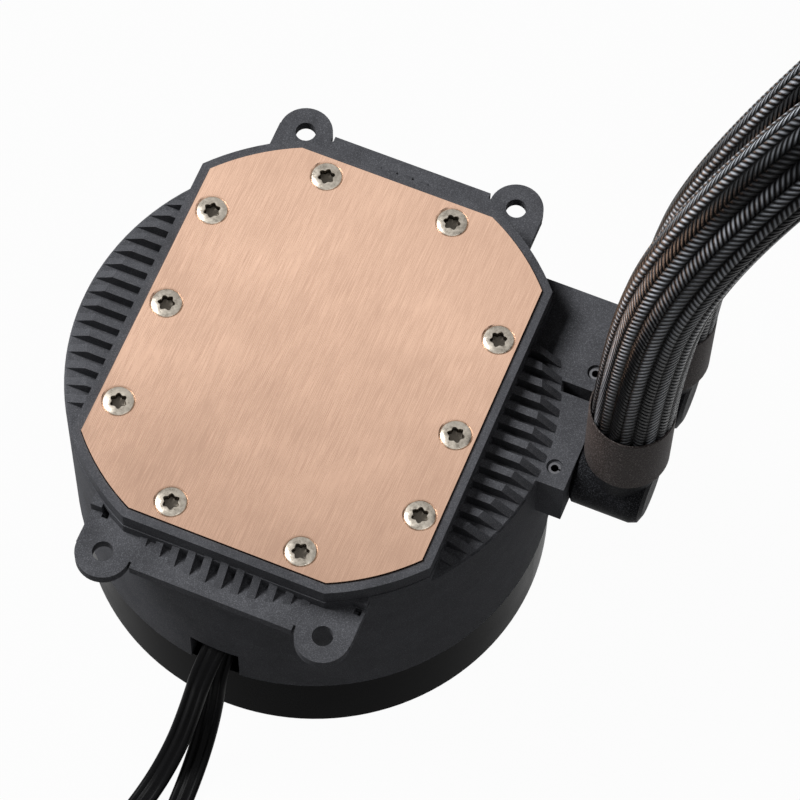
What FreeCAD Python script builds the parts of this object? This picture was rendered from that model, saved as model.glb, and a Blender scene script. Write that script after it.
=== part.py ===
# All in one liquid cooler for a processor, built as it is put together: the pump head lying on its
# cap with the cold plate up, two swivel elbows, two braided hoses, two flat three wire leads and a
# radiator with its fan. Millimetres, +Z up. The origin is the middle of the cap's outer face, X and Y
# run along the sides of the cold plate, and the elbows stand at +X.
import FreeCAD, Part
import math
import os

V = FreeCAD.Vector

# Running and seating clearances
FIT = 0.05            # a pin, shaft or spigot in its hole, on the radius
SEAT = 0.10           # a loose part in its pocket, each side
GAP = 0.30            # between parts that move past each other

# Heights of the pump head, up from the cap's outer face
CAP_H = 17.0          # seam between cap and body
FLANGE_Z = 50.5       # top of the finned ring, the ears and the port blocks
FRAME_Z = 56.1        # top of the frame round the cold plate
PLATE_T = 3.6         # thickness of the cold plate
PLATE_PROUD = 0.4     # the plate stands this much above the frame
PLATE_Z = FRAME_Z + PLATE_PROUD
PLATE_BOTTOM = PLATE_Z - PLATE_T
DECK_Z = 36.0         # underside of the wet part of the body

# Cap and body in plan
BODY_R = 40.05
SKIRT_T = 2.05
CAP_R = 39.7
CAP_T = 1.7
CAP_FLOOR = 2.5
LIP_H = 3.5           # height of the cap's register inside the skirt
LIP_T = 1.6
BEAD = 0.25           # snap bead on the register

# Cold plate, a rectangle whose corners are cut by a circle
PLATE_X = 29.0
PLATE_Y = 34.8
PLATE_R = 38.6
RIM_W = 1.6           # frame round the plate
POCKET_GAP = 0.12
MICRO_W = 15.0        # half width of the micro fin field
MICRO_H = 2.0
MICRO_T = 0.6
MICRO_PITCH = 1.5

# Countersunk plate screws, M3, in their true places
SCREW_R = 1.4
SCREW_HEAD_R = 2.62
SCREW_SINK_R = 2.78
SCREW_L = 10.5
SCREW_DRIVE_R = 1.25
SCREW_DRIVE_D = 0.9
PLATE_SCREWS = (
    (-11.0, 31.5), (11.0, 31.5), (-11.0, -31.3), (11.0, -31.3),
    (-25.7, 18.6), (-25.7, 0.35), (-25.7, -18.5),
    (25.8, 14.7), (25.8, -3.5), (25.8, -18.5),
)

# Gasket, wet pocket and flow plate
GASKET_X = 21.9
GASKET_Y = 28.2
GASKET_R = 7.0
GASKET_W = 2.2
GASKET_T = 1.6
WET_X = 19.6
WET_Y = 25.6
WET_R = 5.0
FLOW_Z = 49.4
FLOW_T = 1.4

# Fins of the ring
FIN_TOP = 53.1
FIN_T = 1.3
FIN_PITCH = 2.77
FIN_FLAT_R = 36.5     # the tops are level as far as this radius
FIN_END_R = 39.8      # and slope down to the flange here
FIN_Y0 = 0.6
FIN_X0 = 0.3
FIN_LOW_LEFT = -7
FIN_HIGH_LEFT = 7
FIN_LOW_RIGHT = -10
FIN_HIGH_RIGHT = 6
FIN_FRONT = 5

# Four fixing ears
EAR_X = 18.7
EAR_Y = 40.9
EAR_R = 4.5
EAR_SIDE = 23.3
EAR_T = 2.0
EAR_HOLE_R = 1.7
WEB_X = 13.8
WEB_Y = 41.9

# Port blocks and elbows
PORT_Y = (4.7, 22.75)
PORT_Z = 44.6
PORT_HALF = 8.1
PORT_X = 44.3
PORT_BOTTOM = 38.4
CHANNEL_R = 3.4
SPIGOT_R = 4.5
SPIGOT_END = 36.7
BORE_END = 36.4
PIN_X = 41.5
PIN_R = 1.0
PIN_OFFSET = 4.75
PIN_GROOVE_R = 3.6
PIN_TOP = FLANGE_Z - 0.5
RING_X = 38.6
RING_WIRE = 1.0
ELBOW_R = 6.2
ELBOW_X = 51.6
ELBOW_END = 56.6
STUB_R = 5.0
SLEEVE_Z = 54.9
SLEEVE_TOP = 71.2
SLEEVE_LIP = 1.1
SLEEVE_T = 0.25
BARB_R = 4.1
BARB_BORE = 2.9

# Hoses
HOSE_R = 6.55
HOSE_BORE = 4.15
HOSE_SOCKET = 15.5

# Rotor can, impeller, stator
CHAMBER_R = 16.5
CAN_R = 12.5
CAN_T = 1.0
CAN_BOTTOM = 22.5
CAN_FLOOR = 1.5
CAN_FLANGE_R = 25.5
CAN_FLANGE_T = 2.6
CAN_SCREW_R = 22.8
ORING_R = 18.6
ORING_WIRE = 1.5
SHAFT_R = 1.5
SHAFT_BOTTOM = 24.6
SHAFT_TOP = 48.6
BUSH_R = 2.9
BUSH_BOTTOM = 27.0
HUB_R = 5.0
MAGNET_R = 10.8
MAGNET_TOP = 39.3
DISC_R = 15.2
DISC_Z = 40.2
DISC_T = 1.6
VANE_TOP = 46.0
VANE_T = 1.2
VANES = 6
STATOR_R = 20.4
STATOR_Z = 24.5
STATOR_H = 7.0
YOKE_T = 2.6
POLES = 6
ARM_W = 4.0
COIL_W = 7.4

# Circuit board, its light ring and the two leads' header
BOARD_Z = 18.0
BOARD_T = 1.6
BOARD_R = 33.0
POST_R = 29.0
POST_SIZE = 2.8
POST_ANGLES = (60.0, 180.0, 300.0)
CHIPS = 12
CHIP_R = 26.0
CHIP_SIZE = 4.0
CHIP_H = 1.4
HEADER_X = -1.0
HEADER_HALF = 5.2
HEADER_Y = -33.2
HEADER_DEPTH = 7.0
HEADER_TOP = 25.0
NOTCH_HALF = 4.3
NOTCH_TOP = 25.0
DISH_R = 35.9
DISH_T = 1.4
DISH_H = 9.5

# Flat leads of three wires, laid side by side
LEAD_W = 4.0
LEAD_T = 1.4
COIL_MID_R = 21.0
COIL_RING_W = 8.0
COIL_RING_H = 4.4
PLUG_L = 14.0
PLUG_W = 8.0
PLUG_H = 6.0

# Radiator with its fan beneath it
RAD_X = 0.0           # outer face of the tank with the ports, before the radiator is set down
RAD_Y = 0.0           # middle of the radiator's width, before it is set down
RAD_L = 155.0
RAD_W = 120.0
RAD_T = 27.0
FAN_H = 25.0
TANK_L = 21.0
TANK_BACK = 13.0
TANK_WALL = 1.5
RAIL_T = 1.2
RAIL_FLANGE = 9.6
TUBES = 10
TUBE_T = 2.0
TUBE_W = 22.0
FIN_STRIP_T = 0.3
FIN_STRIP_STEP = 4.25
PORT_PITCH = 35.0
RAD_PORT_Z = FAN_H + RAD_T / 2
RAD_HOSE_X = RAD_X - 4.0
SET_X = 190.0         # where the radiator's middle line stands
SET_Y = 22.0          # where the face of the tank with the ports stands
RAD_SLEEVE_L = 16.3
HOLE_PITCH = 105.0
RAD_HOLE_R = 1.75     # case side of the rails
RAD_TAP_R = 1.5       # fan side of the rails
FAN_SIZE = 120.0
FAN_WALL = 2.6
FAN_BORE = 57.5
FAN_BLADE_R = 56.3
FAN_HUB_R = 20.0
BLADES = 9
FAN_SCREW_TIP = FAN_H + 1.6
FAN_HEAD_R = 3.0
FAN_HEAD_Z = 3.0

# Routes of the hoses and leads, each point chosen by hand
FRONT_HOSE = (
    (51.6, 4.7, 56.0), (51.6, 4.7, 89.0), (57.5, 10.5, 122.5), (76, 28, 153), (106.9, 61.7, 170.9),
    (127.3, 83.3, 170.1), (147.1, 101.8, 158.2), (164.8, 114, 137.7), (179.7, 117.7, 112.4),
    (191.6, 111.8, 86), (200.2, 96.6, 62.6), (205.5, 75.4, 46.6),
    (SET_X + PORT_PITCH / 2, SET_Y + 29.5, RAD_PORT_Z), (SET_X + PORT_PITCH / 2, SET_Y + 4.0, RAD_PORT_Z),
)
REAR_HOSE = (
    (51.6, 22.75, 56.0), (51.6, 22.75, 86.0), (58, 31, 118), (75, 51, 146), (99.8, 81.7, 165.4),
    (120.2, 103.9, 167), (140, 123.4, 156.8), (157.6, 136.4, 136.9), (172.1, 139.2, 111.2),
    (182.4, 130.6, 84.5), (186.7, 111.6, 60.9), (183, 86, 44.5),
    (SET_X - PORT_PITCH / 2, SET_Y + 31.3, RAD_PORT_Z), (SET_X - PORT_PITCH / 2, SET_Y + 4.0, RAD_PORT_Z),
)
PUMP_LEAD = (
    (-0.9, -33.2, 23.9), (-1.5, -43.0, 23.0), (-2.5, -47.2, 12.8), (-3.4, -51.5, 6.0), (-4.8, -57.5, 1.6),
    (-6.6, -65.0, 0.72), (-9.7, -78.0, 0.72), (-12.8, -93.0, 0.72), (-14.9, -103.0, 0.72),
)
LIGHT_LEAD = (
    (-0.4, -33.2, 21.5), (-0.2, -40.6, 20.9), (0.0, -44.2, 10.6), (0.1, -48.6, 4.6), (0.2, -54.6, 1.2),
    (0.4, -62.5, 0.72), (0.7, -72.0, 0.72), (1.0, -82.6, 0.72),
)
PUMP_COIL = (-35.5, -98.7)
LIGHT_COIL = (22.0, -82.6)


def box(x0, x1, y0, y1, z0, z1):
    """A block between two corners."""
    return Part.makeBox(x1 - x0, y1 - y0, z1 - z0, V(x0, y0, z0))


def rod(radius, z0, z1, x=0.0, y=0.0):
    """An upright cylinder."""
    return Part.makeCylinder(radius, z1 - z0, V(x, y, z0))


def rod_x(radius, x0, x1, y, z):
    """A cylinder lying along X."""
    return Part.makeCylinder(radius, x1 - x0, V(x0, y, z), V(1, 0, 0))


def turned(outline, x=0.0, y=0.0):
    """A closed outline of (radius, height) turned about an upright axis."""
    wire = Part.makePolygon([V(r, 0, z) for r, z in outline + outline[:1]])
    solid = Part.Face(wire).revolve(V(0, 0, 0), V(0, 0, 1), 360)
    solid.translate(V(x, y, 0))
    return solid


def turned_x(outline, y, z):
    """A closed outline of (distance along X, radius) turned about an axis along X."""
    wire = Part.makePolygon([V(x, 0, r) for x, r in outline + outline[:1]])
    solid = Part.Face(wire).revolve(V(0, 0, 0), V(1, 0, 0), 360)
    solid.translate(V(0, y, z))
    return solid


def polar(radius, degrees):
    """Plan coordinates of a point at a radius and angle."""
    return radius * math.cos(math.radians(degrees)), radius * math.sin(math.radians(degrees))


def round_rect(half_x, half_y, radius, z0, z1):
    """An upright block with rounded corners, centred on the axis."""
    block = box(-half_x, half_x, -half_y, half_y, z0, z1)
    upright = [e for e in block.Edges if abs(e.Vertexes[0].Z - e.Vertexes[-1].Z) > 0.5 * (z1 - z0)]
    return block.makeFillet(radius, upright)


def plate_form(grow, z0, z1):
    """The cold plate's outline, grown by an offset: a rectangle cut by a circle."""
    half_x = PLATE_X + grow
    half_y = PLATE_Y + grow
    return box(-half_x, half_x, -half_y, half_y, z0, z1).common(rod(PLATE_R + grow, z0, z1))


def joined(shapes):
    """Several touching solids as one."""
    return shapes[0].multiFuse(shapes[1:]).removeSplitter()


def without(shape, tools):
    """A solid less several tools."""
    return shape.cut(Part.makeCompound(tools))


def save(name, shape):
    """Write one node."""
    shape.exportStep("parts/" + name + ".step")


def set_down(shape):
    """The radiator's parts turned so that the ports look along Y, and moved to their place."""
    shape.rotate(V(0, 0, 0), V(0, 0, 1), -90.0)
    shape.translate(V(SET_X, SET_Y, 0))
    return shape


def cord_path(points):
    """Straight runs joined by tangent arcs, with the tightest radius and the length."""
    corners = [V(*p) for p in points]
    edges = []
    start = corners[0]
    tightest = None
    length = 0.0
    for before, corner, after in zip(corners, corners[1:], corners[2:]):
        run_in = corner - before
        run_out = after - corner
        turn = run_in.getAngle(run_out)
        reach = 0.45 * min(run_in.Length, run_out.Length)
        radius = reach / math.tan(turn / 2)
        tightest = radius if tightest is None else min(tightest, radius)
        step_in = run_in.normalize()
        step_out = run_out.normalize()
        arc_start = corner - step_in * reach
        arc_end = corner + step_out * reach
        inward = (step_out - step_in).normalize()
        middle = corner + inward * (radius / math.cos(turn / 2) - radius)
        edges.append(Part.LineSegment(start, arc_start).toShape())
        edges.append(Part.Arc(arc_start, middle, arc_end).toShape())
        length += (arc_start - start).Length + radius * turn
        start = arc_end
    edges.append(Part.LineSegment(start, corners[-1]).toShape())
    length += (corners[-1] - start).Length
    return Part.Wire(edges), tightest, length


def swept(name, points, section, area):
    """A solid of one section along a cord's route. Prints its radius, length and volume."""
    path, tightest, length = cord_path(points)
    solid = path.makePipeShell([section], True, False)
    share = solid.Volume / (area * length)
    print(name, "tightest", round(tightest, 1), "length", round(length, 1), "volume share",
          round(share, 4))
    return solid


# Cap, light dish and circuit board

def top_cover():
    """The glossy cap with the register that snaps into the skirt, open at the leads' notch."""
    inner = CAP_R - CAP_T
    lip_out = BODY_R - SKIRT_T - SEAT
    top = CAP_H + LIP_H
    outline = [
        (0, 0), (CAP_R - 1.2, 0), (CAP_R - 0.35, 0.35), (CAP_R, 1.2), (CAP_R, CAP_H), (lip_out, CAP_H),
        (lip_out, top - 2.0), (lip_out + BEAD, top - 1.5), (lip_out, top - 1.0), (lip_out, top),
        (lip_out - LIP_T, top), (lip_out - LIP_T, CAP_H - 2.5), (inner, CAP_H - 4.0),
        (inner, CAP_FLOOR), (0, CAP_FLOOR),
    ]
    notch = box(HEADER_X - NOTCH_HALF - 1.0, HEADER_X + NOTCH_HALF + 1.0, -BODY_R, -BODY_R / 2,
                CAP_H, top + 1.0)
    return turned(outline).cut(notch)


def light_diffuser():
    """The milky dish that spreads the light behind the cap."""
    outline = [
        (0, CAP_FLOOR), (DISH_R, CAP_FLOOR), (DISH_R, CAP_FLOOR + DISH_H),
        (DISH_R - DISH_T, CAP_FLOOR + DISH_H), (DISH_R - DISH_T, CAP_FLOOR + DISH_T),
        (0, CAP_FLOOR + DISH_T),
    ]
    return turned(outline)


def circuit_board():
    """The round board, drilled for its posts, with its parts and the header for the leads."""
    top = BOARD_Z + BOARD_T
    board = rod(BOARD_R, BOARD_Z, top)
    header = box(HEADER_X - HEADER_HALF, HEADER_X + HEADER_HALF, HEADER_Y,
                 HEADER_Y + HEADER_DEPTH, top, HEADER_TOP)
    driver = box(-20.0, -13.0, 8.0, 15.0, top, top + 1.2)
    capacitor = rod(3.0, top, top + 2.4, 22.0, 8.0)
    board = joined([board, header, driver, capacitor])
    front = box(-BOARD_R, BOARD_R, -BOARD_R - 1.0, HEADER_Y, BOARD_Z - 1.0, HEADER_TOP)
    holes = [rod(SCREW_R * 0.75 + SEAT, BOARD_Z - 1, top + 1, *polar(POST_R, a)) for a in POST_ANGLES]
    return without(board, holes + [front])


def light_chips():
    """The ring of small lamps under the board."""
    chips = []
    for k in range(CHIPS):
        x, y = polar(CHIP_R, 15.0 + k * 360.0 / CHIPS)
        half = CHIP_SIZE / 2
        chips.append(box(x - half, x + half, y - half, y + half, BOARD_Z - CHIP_H, BOARD_Z))
    return Part.makeCompound(chips)


def pan_screw(x, y, head_z, tip_z, head_r, shank_r, head_h, up=True):
    """A pan head screw: the head starts at head_z and the tip points away from it."""
    if up:
        head = rod(head_r, head_z - head_h, head_z, x, y)
        shank = rod(shank_r, head_z, tip_z, x, y)
        drive = rod(head_r * 0.45, head_z - head_h, head_z - head_h * 0.5, x, y)
    else:
        head = rod(head_r, head_z, head_z + head_h, x, y)
        shank = rod(shank_r, tip_z, head_z, x, y)
        drive = rod(head_r * 0.45, head_z + head_h * 0.5, head_z + head_h, x, y)
    return head.fuse(shank).removeSplitter().cut(drive)


def board_screws():
    """Three screws that hold the board to its posts."""
    screws = []
    for a in POST_ANGLES:
        x, y = polar(POST_R, a)
        screws.append(pan_screw(x, y, BOARD_Z, BOARD_Z + 8.0, 2.0, SCREW_R * 0.75, 1.3))
    return Part.makeCompound(screws)


# Body of the pump head

def ring_fins():
    """The fins either side of the frame and in front of and behind it."""
    slope = turned([
        (24.0, FLANGE_Z - 0.5), (FIN_END_R, FLANGE_Z - 0.5), (FIN_END_R, FLANGE_Z),
        (FIN_FLAT_R, FIN_TOP), (24.0, FIN_TOP),
    ])
    low = FLANGE_Z - 0.5
    half = FIN_T / 2
    strips = []
    for k in range(FIN_LOW_LEFT, FIN_HIGH_LEFT + 1):
        y = FIN_Y0 + k * FIN_PITCH
        strips.append(box(-BODY_R, -PLATE_X, y - half, y + half, low, FIN_TOP))
    for k in range(FIN_LOW_RIGHT, FIN_HIGH_RIGHT + 1):
        y = FIN_Y0 + k * FIN_PITCH
        strips.append(box(PLATE_X, BODY_R, y - half, y + half, low, FIN_TOP))
    for k in range(-FIN_FRONT, FIN_FRONT + 1):
        x = FIN_X0 + k * FIN_PITCH
        strips.append(box(x - half, x + half, -BODY_R, -PLATE_Y, low, FIN_TOP))
        strips.append(box(x - half, x + half, PLATE_Y, BODY_R, low, FIN_TOP))
    return slope.common(Part.makeCompound(strips))


def ears():
    """The flange of four ears and the webs between each pair."""
    low = FLANGE_Z - EAR_T
    pieces = [
        box(-EAR_SIDE, EAR_SIDE, -EAR_Y, EAR_Y, low, FLANGE_Z),
        box(-WEB_X, WEB_X, -WEB_Y, WEB_Y, low, FLANGE_Z),
    ]
    for x in (-EAR_X, EAR_X):
        for y in (-EAR_Y, EAR_Y):
            pieces.append(rod(EAR_R, low, FLANGE_Z, x, y))
    return pieces


def port_blocks():
    """The two blocks that carry the elbows, with the slot between them."""
    blocks = []
    for y in PORT_Y:
        block = box(24.0, PORT_X, y - PORT_HALF, y + PORT_HALF, PORT_BOTTOM, FLANGE_Z)
        lower = [e for e in block.Edges if e.BoundBox.ZMax < PORT_BOTTOM + 0.1
                 and e.BoundBox.XMin > 24.1 or e.BoundBox.ZMax < PORT_BOTTOM + 0.1
                 and e.BoundBox.XLength > 1.0]
        blocks.append(block.makeFillet(1.2, lower))
    return blocks


def lugs():
    """The small raised lug beside each lower ear."""
    return [
        box(-23.4, -21.5, -34.9, -32.4, FLANGE_Z - 0.5, FLANGE_Z + 2.0),
        box(21.2, 23.2, -34.4, -32.2, FLANGE_Z - 0.5, FLANGE_Z + 2.0),
    ]


def wet_cuts():
    """Pocket, chamber, channels and bores that hold and lead the coolant."""
    cuts = [
        plate_form(POCKET_GAP, PLATE_BOTTOM, FRAME_Z + 1.0),
        round_rect(WET_X, WET_Y, WET_R, FLOW_Z, PLATE_BOTTOM + 0.5),
        rod(CHAMBER_R, DECK_Z - 1.0, FLOW_Z + 0.5),
        round_rect(GASKET_X + GASKET_W / 2, GASKET_Y + GASKET_W / 2, GASKET_R + GASKET_W / 2,
                   PLATE_BOTTOM - GASKET_T, PLATE_BOTTOM + 0.1).cut(
            round_rect(GASKET_X - GASKET_W / 2, GASKET_Y - GASKET_W / 2, GASKET_R - GASKET_W / 2,
                       PLATE_BOTTOM - GASKET_T - 1, PLATE_BOTTOM + 1)),
        rod_x(CHANNEL_R, 10.0, PORT_X, PORT_Y[0], PORT_Z),
        rod_x(CHANNEL_R, 0.0, PORT_X, PORT_Y[1], PORT_Z),
        rod(CHANNEL_R - 0.2, PORT_Z, FLOW_Z + 0.5, 0.0, WET_Y - CHANNEL_R - 0.2),
    ]
    for y in PORT_Y:
        cuts.append(rod_x(SPIGOT_R + FIT, BORE_END, PORT_X + 1.0, y, PORT_Z))
        cuts.append(rod(PIN_R + 0.02, PORT_BOTTOM + 1.2, FLANGE_Z + 1.0, PIN_X, y - PIN_OFFSET))
        cuts.append(rod(PIN_R + 0.35, PIN_TOP, FLANGE_Z + 1.0, PIN_X, y - PIN_OFFSET))
    for x, y in PLATE_SCREWS:
        cuts.append(rod(SCREW_R + FIT, PLATE_Z - SCREW_L - 0.5, PLATE_BOTTOM + 0.5, x, y))
    return cuts


def dry_cuts():
    """Cored pockets under the deck, screw holes, the leads' notch and the snap groove."""
    cuts = []
    for k in range(5):
        start = 100.0 + k * 32.0
        sector = Part.makeCylinder(37.0, 8.5, V(0, 0, DECK_Z), V(0, 0, 1), 28.0)
        sector.rotate(V(0, 0, 0), V(0, 0, 1), start)
        cuts.append(sector.cut(rod(27.5, DECK_Z - 1, FLANGE_Z)))
    for k in range(4):
        x, y = polar(CAN_SCREW_R, 45.0 + 90.0 * k)
        cuts.append(rod(SCREW_R + FIT, DECK_Z - 1.0, DECK_Z + 5.5, x, y))
    for a in POST_ANGLES:
        x, y = polar(POST_R, a)
        cuts.append(rod(SCREW_R * 0.75 + FIT, BOARD_Z, BOARD_Z + 9.5, x, y))
    cuts.append(box(HEADER_X - NOTCH_HALF, HEADER_X + NOTCH_HALF, -BODY_R - 1.0, -BODY_R + 5.0,
                    CAP_H - 1.0, NOTCH_TOP))
    inner = BODY_R - SKIRT_T
    groove = CAP_H + LIP_H - 1.5
    cuts.append(turned([(inner - 1.0, groove - 0.6), (inner, groove - 0.6), (inner + BEAD, groove - 0.2),
                        (inner + BEAD, groove + 0.2), (inner, groove + 0.6),
                        (inner - 1.0, groove + 0.6)]))
    return cuts


def pump_body():
    """The moulded body: skirt, deck, port blocks, finned ring, frame, ears and lugs."""
    skirt = rod(BODY_R, CAP_H, DECK_Z).cut(rod(BODY_R - SKIRT_T, CAP_H - 1, DECK_Z + 1))
    deck = turned([
        (0, DECK_Z), (BODY_R, DECK_Z), (BODY_R, FLANGE_Z - 0.4), (BODY_R - 0.4, FLANGE_Z), (0, FLANGE_Z),
    ])
    wall = plate_form(RIM_W + 0.15, FLANGE_Z, FLANGE_Z + 2.2)
    rim = plate_form(RIM_W, FLANGE_Z + 2.2, FRAME_Z)
    posts = [rod(POST_SIZE, BOARD_Z + BOARD_T, DECK_Z, *polar(POST_R, a)) for a in POST_ANGLES]
    fins = ring_fins().Solids
    body = joined([deck, skirt, wall, rim] + ears() + port_blocks() + lugs() + posts + fins)
    holes = []
    for x in (-EAR_X, EAR_X):
        for y in (-EAR_Y, EAR_Y):
            holes.append(rod(EAR_HOLE_R, FLANGE_Z - EAR_T - 1, FLANGE_Z + 1, x, y))
    notches = [
        box(-21.4, -20.3, -35.6, -33.6, FLANGE_Z - 1.5, FLANGE_Z + 1.0),
        box(21.6, 22.8, -35.6, -34.5, FLANGE_Z - 1.5, FLANGE_Z + 1.0),
    ]
    return without(body, wet_cuts() + dry_cuts() + holes + notches)


# Cold plate and what lies under it

def cold_plate():
    """The copper plate with countersunk holes and its micro fins underneath."""
    plate = plate_form(0.0, PLATE_BOTTOM, PLATE_Z)
    cuts = []
    for x, y in PLATE_SCREWS:
        cuts.append(rod(SCREW_R + 0.15, PLATE_BOTTOM - 1, PLATE_Z + 1, x, y))
        sink = SCREW_SINK_R - SCREW_R
        cone = Part.makeCone(SCREW_R, SCREW_SINK_R, sink, V(x, y, PLATE_Z - sink))
        cuts.append(cone)
    fins = []
    count = int(2 * MICRO_W / MICRO_PITCH)
    for k in range(count):
        x = -MICRO_W + (k + 0.5) * MICRO_PITCH
        fins.append(box(x - MICRO_T / 2, x + MICRO_T / 2, -MICRO_W, MICRO_W,
                        PLATE_BOTTOM - MICRO_H, PLATE_BOTTOM))
    return joined([without(plate, cuts)] + fins)


def plate_screws():
    """Ten countersunk screws with a round drive recess."""
    screws = []
    head_h = SCREW_HEAD_R - SCREW_R
    for x, y in PLATE_SCREWS:
        top = PLATE_Z - 0.08
        head = Part.makeCone(SCREW_R, SCREW_HEAD_R, head_h, V(x, y, top - head_h))
        shank = rod(SCREW_R, PLATE_Z - SCREW_L, top - head_h, x, y)
        drive = rod(SCREW_DRIVE_R, top - SCREW_DRIVE_D, top + 1, x, y)
        screws.append(head.fuse(shank).removeSplitter().cut(drive))
    return Part.makeCompound(screws)


def plate_gasket():
    """The rubber seal in its groove round the wet pocket."""
    low = PLATE_BOTTOM - GASKET_T
    half = GASKET_W / 2 - 0.05
    outer = round_rect(GASKET_X + half, GASKET_Y + half, GASKET_R + half, low, PLATE_BOTTOM)
    inner = round_rect(GASKET_X - half, GASKET_Y - half, GASKET_R - half, low - 1, PLATE_BOTTOM + 1)
    return outer.cut(inner)


def flow_plate():
    """The plate that jets the coolant onto the micro fins and carries the shaft's end."""
    plate = round_rect(WET_X - SEAT, WET_Y - SEAT, WET_R - SEAT, FLOW_Z, FLOW_Z + FLOW_T)
    boss = rod(3.4, SHAFT_TOP - 2.2, FLOW_Z)
    cuts = [
        box(4.5, 14.0, -1.2, 1.2, FLOW_Z - 1, FLOW_Z + 3),
        box(-14.0, -4.5, -1.2, 1.2, FLOW_Z - 1, FLOW_Z + 3),
        box(-8.0, 8.0, 18.0, 24.0, FLOW_Z - 1, FLOW_Z + 3),
        rod(SHAFT_R + FIT, SHAFT_TOP - 4, SHAFT_TOP),
    ]
    return without(joined([plate, boss]), cuts)


# Pump: impeller, magnet, shaft, can and stator

def vane(angle):
    """One impeller vane, curved back from the hub to the rim of the disc."""
    inner = polar(HUB_R + 0.5, angle)
    waist = (HUB_R + DISC_R + 0.8) / 2
    middle = polar(waist, angle - 14.0)
    outer = polar(DISC_R - 0.3, angle - 38.0)
    z = DISC_Z + DISC_T - 0.2
    back_inner = polar(HUB_R + 0.5, angle + 12.0)
    back_middle = polar(waist + VANE_T * 0.3, angle - 6.5)
    back_outer = polar(DISC_R - 0.3, angle - 33.5)
    front = Part.Arc(V(*inner, z), V(*middle, z), V(*outer, z)).toShape()
    tip = Part.LineSegment(V(*outer, z), V(*back_outer, z)).toShape()
    back = Part.Arc(V(*back_outer, z), V(*back_middle, z), V(*back_inner, z)).toShape()
    root = Part.LineSegment(V(*back_inner, z), V(*inner, z)).toShape()
    return Part.Face(Part.Wire([front, tip, back, root])).extrude(V(0, 0, VANE_TOP - z))


def impeller():
    """Disc, curved vanes and the stem that carries the magnet and bush."""
    disc = turned([
        (BUSH_R, BUSH_BOTTOM), (HUB_R, BUSH_BOTTOM), (HUB_R, DISC_Z), (DISC_R, DISC_Z),
        (DISC_R, DISC_Z + DISC_T), (HUB_R + 1.5, DISC_Z + DISC_T), (HUB_R, VANE_TOP - 1.5),
        (BUSH_R, VANE_TOP - 0.8),
    ])
    return joined([disc] + [vane(k * 360.0 / VANES) for k in range(VANES)])


def impeller_bush():
    """The bearing bush that runs on the shaft."""
    outline = [
        (SHAFT_R + FIT, BUSH_BOTTOM), (BUSH_R, BUSH_BOTTOM), (BUSH_R, VANE_TOP - 1.5),
        (SHAFT_R + FIT, VANE_TOP - 1.5),
    ]
    return turned(outline)


def rotor_magnet():
    """The ring magnet on the impeller's stem."""
    outline = [
        (HUB_R, BUSH_BOTTOM), (MAGNET_R, BUSH_BOTTOM), (MAGNET_R, MAGNET_TOP), (HUB_R, MAGNET_TOP),
    ]
    return turned(outline)


def pump_shaft():
    """The fixed ceramic shaft, from the can's boss to the flow plate's boss."""
    return rod(SHAFT_R, SHAFT_BOTTOM, SHAFT_TOP)


def rotor_can():
    """The cup that keeps the coolant away from the stator, with its flange and shaft boss."""
    inner = CAN_R - CAN_T
    floor = CAN_BOTTOM + CAN_FLOOR
    low = DECK_Z - CAN_FLANGE_T
    groove_in = ORING_R - ORING_WIRE / 2 - SEAT
    groove_out = ORING_R + ORING_WIRE / 2 + SEAT
    cup = turned([
        (0, CAN_BOTTOM), (CAN_R, CAN_BOTTOM), (CAN_R, low), (CAN_FLANGE_R, low),
        (CAN_FLANGE_R, DECK_Z), (groove_out, DECK_Z), (groove_out, DECK_Z - ORING_WIRE),
        (groove_in, DECK_Z - ORING_WIRE), (groove_in, DECK_Z), (inner, DECK_Z), (inner, floor),
        (3.4, floor), (3.4, BUSH_BOTTOM - GAP), (SHAFT_R + 0.01, BUSH_BOTTOM - GAP),
        (SHAFT_R + 0.01, SHAFT_BOTTOM), (0, SHAFT_BOTTOM),
    ])
    holes = []
    for k in range(4):
        x, y = polar(CAN_SCREW_R, 45.0 + 90.0 * k)
        holes.append(rod(SCREW_R + 0.15, low - 1, DECK_Z + 1, x, y))
    return without(cup, holes)


def can_seal():
    """The round seal between the can and the deck."""
    return Part.makeTorus(ORING_R, ORING_WIRE / 2, V(0, 0, DECK_Z - ORING_WIRE / 2))


def can_screws():
    """Four screws that hold the can to the deck."""
    screws = []
    low = DECK_Z - CAN_FLANGE_T
    for k in range(4):
        x, y = polar(CAN_SCREW_R, 45.0 + 90.0 * k)
        screws.append(pan_screw(x, y, low, DECK_Z + 5.0, 2.4, SCREW_R, 1.6))
    return Part.makeCompound(screws)


def stator_core():
    """The laminated yoke with its six arms and pole shoes."""
    top = STATOR_Z + STATOR_H
    yoke = rod(STATOR_R, STATOR_Z, top).cut(rod(STATOR_R - YOKE_T, STATOR_Z - 1, top + 1))
    bore = CAN_R + FIT
    shoes = rod(bore + 1.2, STATOR_Z, top).cut(rod(bore, STATOR_Z - 1, top + 1))
    arms = []
    slots = []
    for k in range(POLES):
        angle = k * 360.0 / POLES
        arm = box(bore + 0.6, STATOR_R - 1.0, -ARM_W / 2, ARM_W / 2, STATOR_Z, top)
        arm.rotate(V(0, 0, 0), V(0, 0, 1), angle)
        arms.append(arm)
        slot = box(bore - 1.0, bore + 2.0, -1.0, 1.0, STATOR_Z - 1, top + 1)
        slot.rotate(V(0, 0, 0), V(0, 0, 1), angle + 180.0 / POLES)
        slots.append(slot)
    return joined([yoke, shoes.cut(Part.makeCompound(slots))] + arms)


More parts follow.
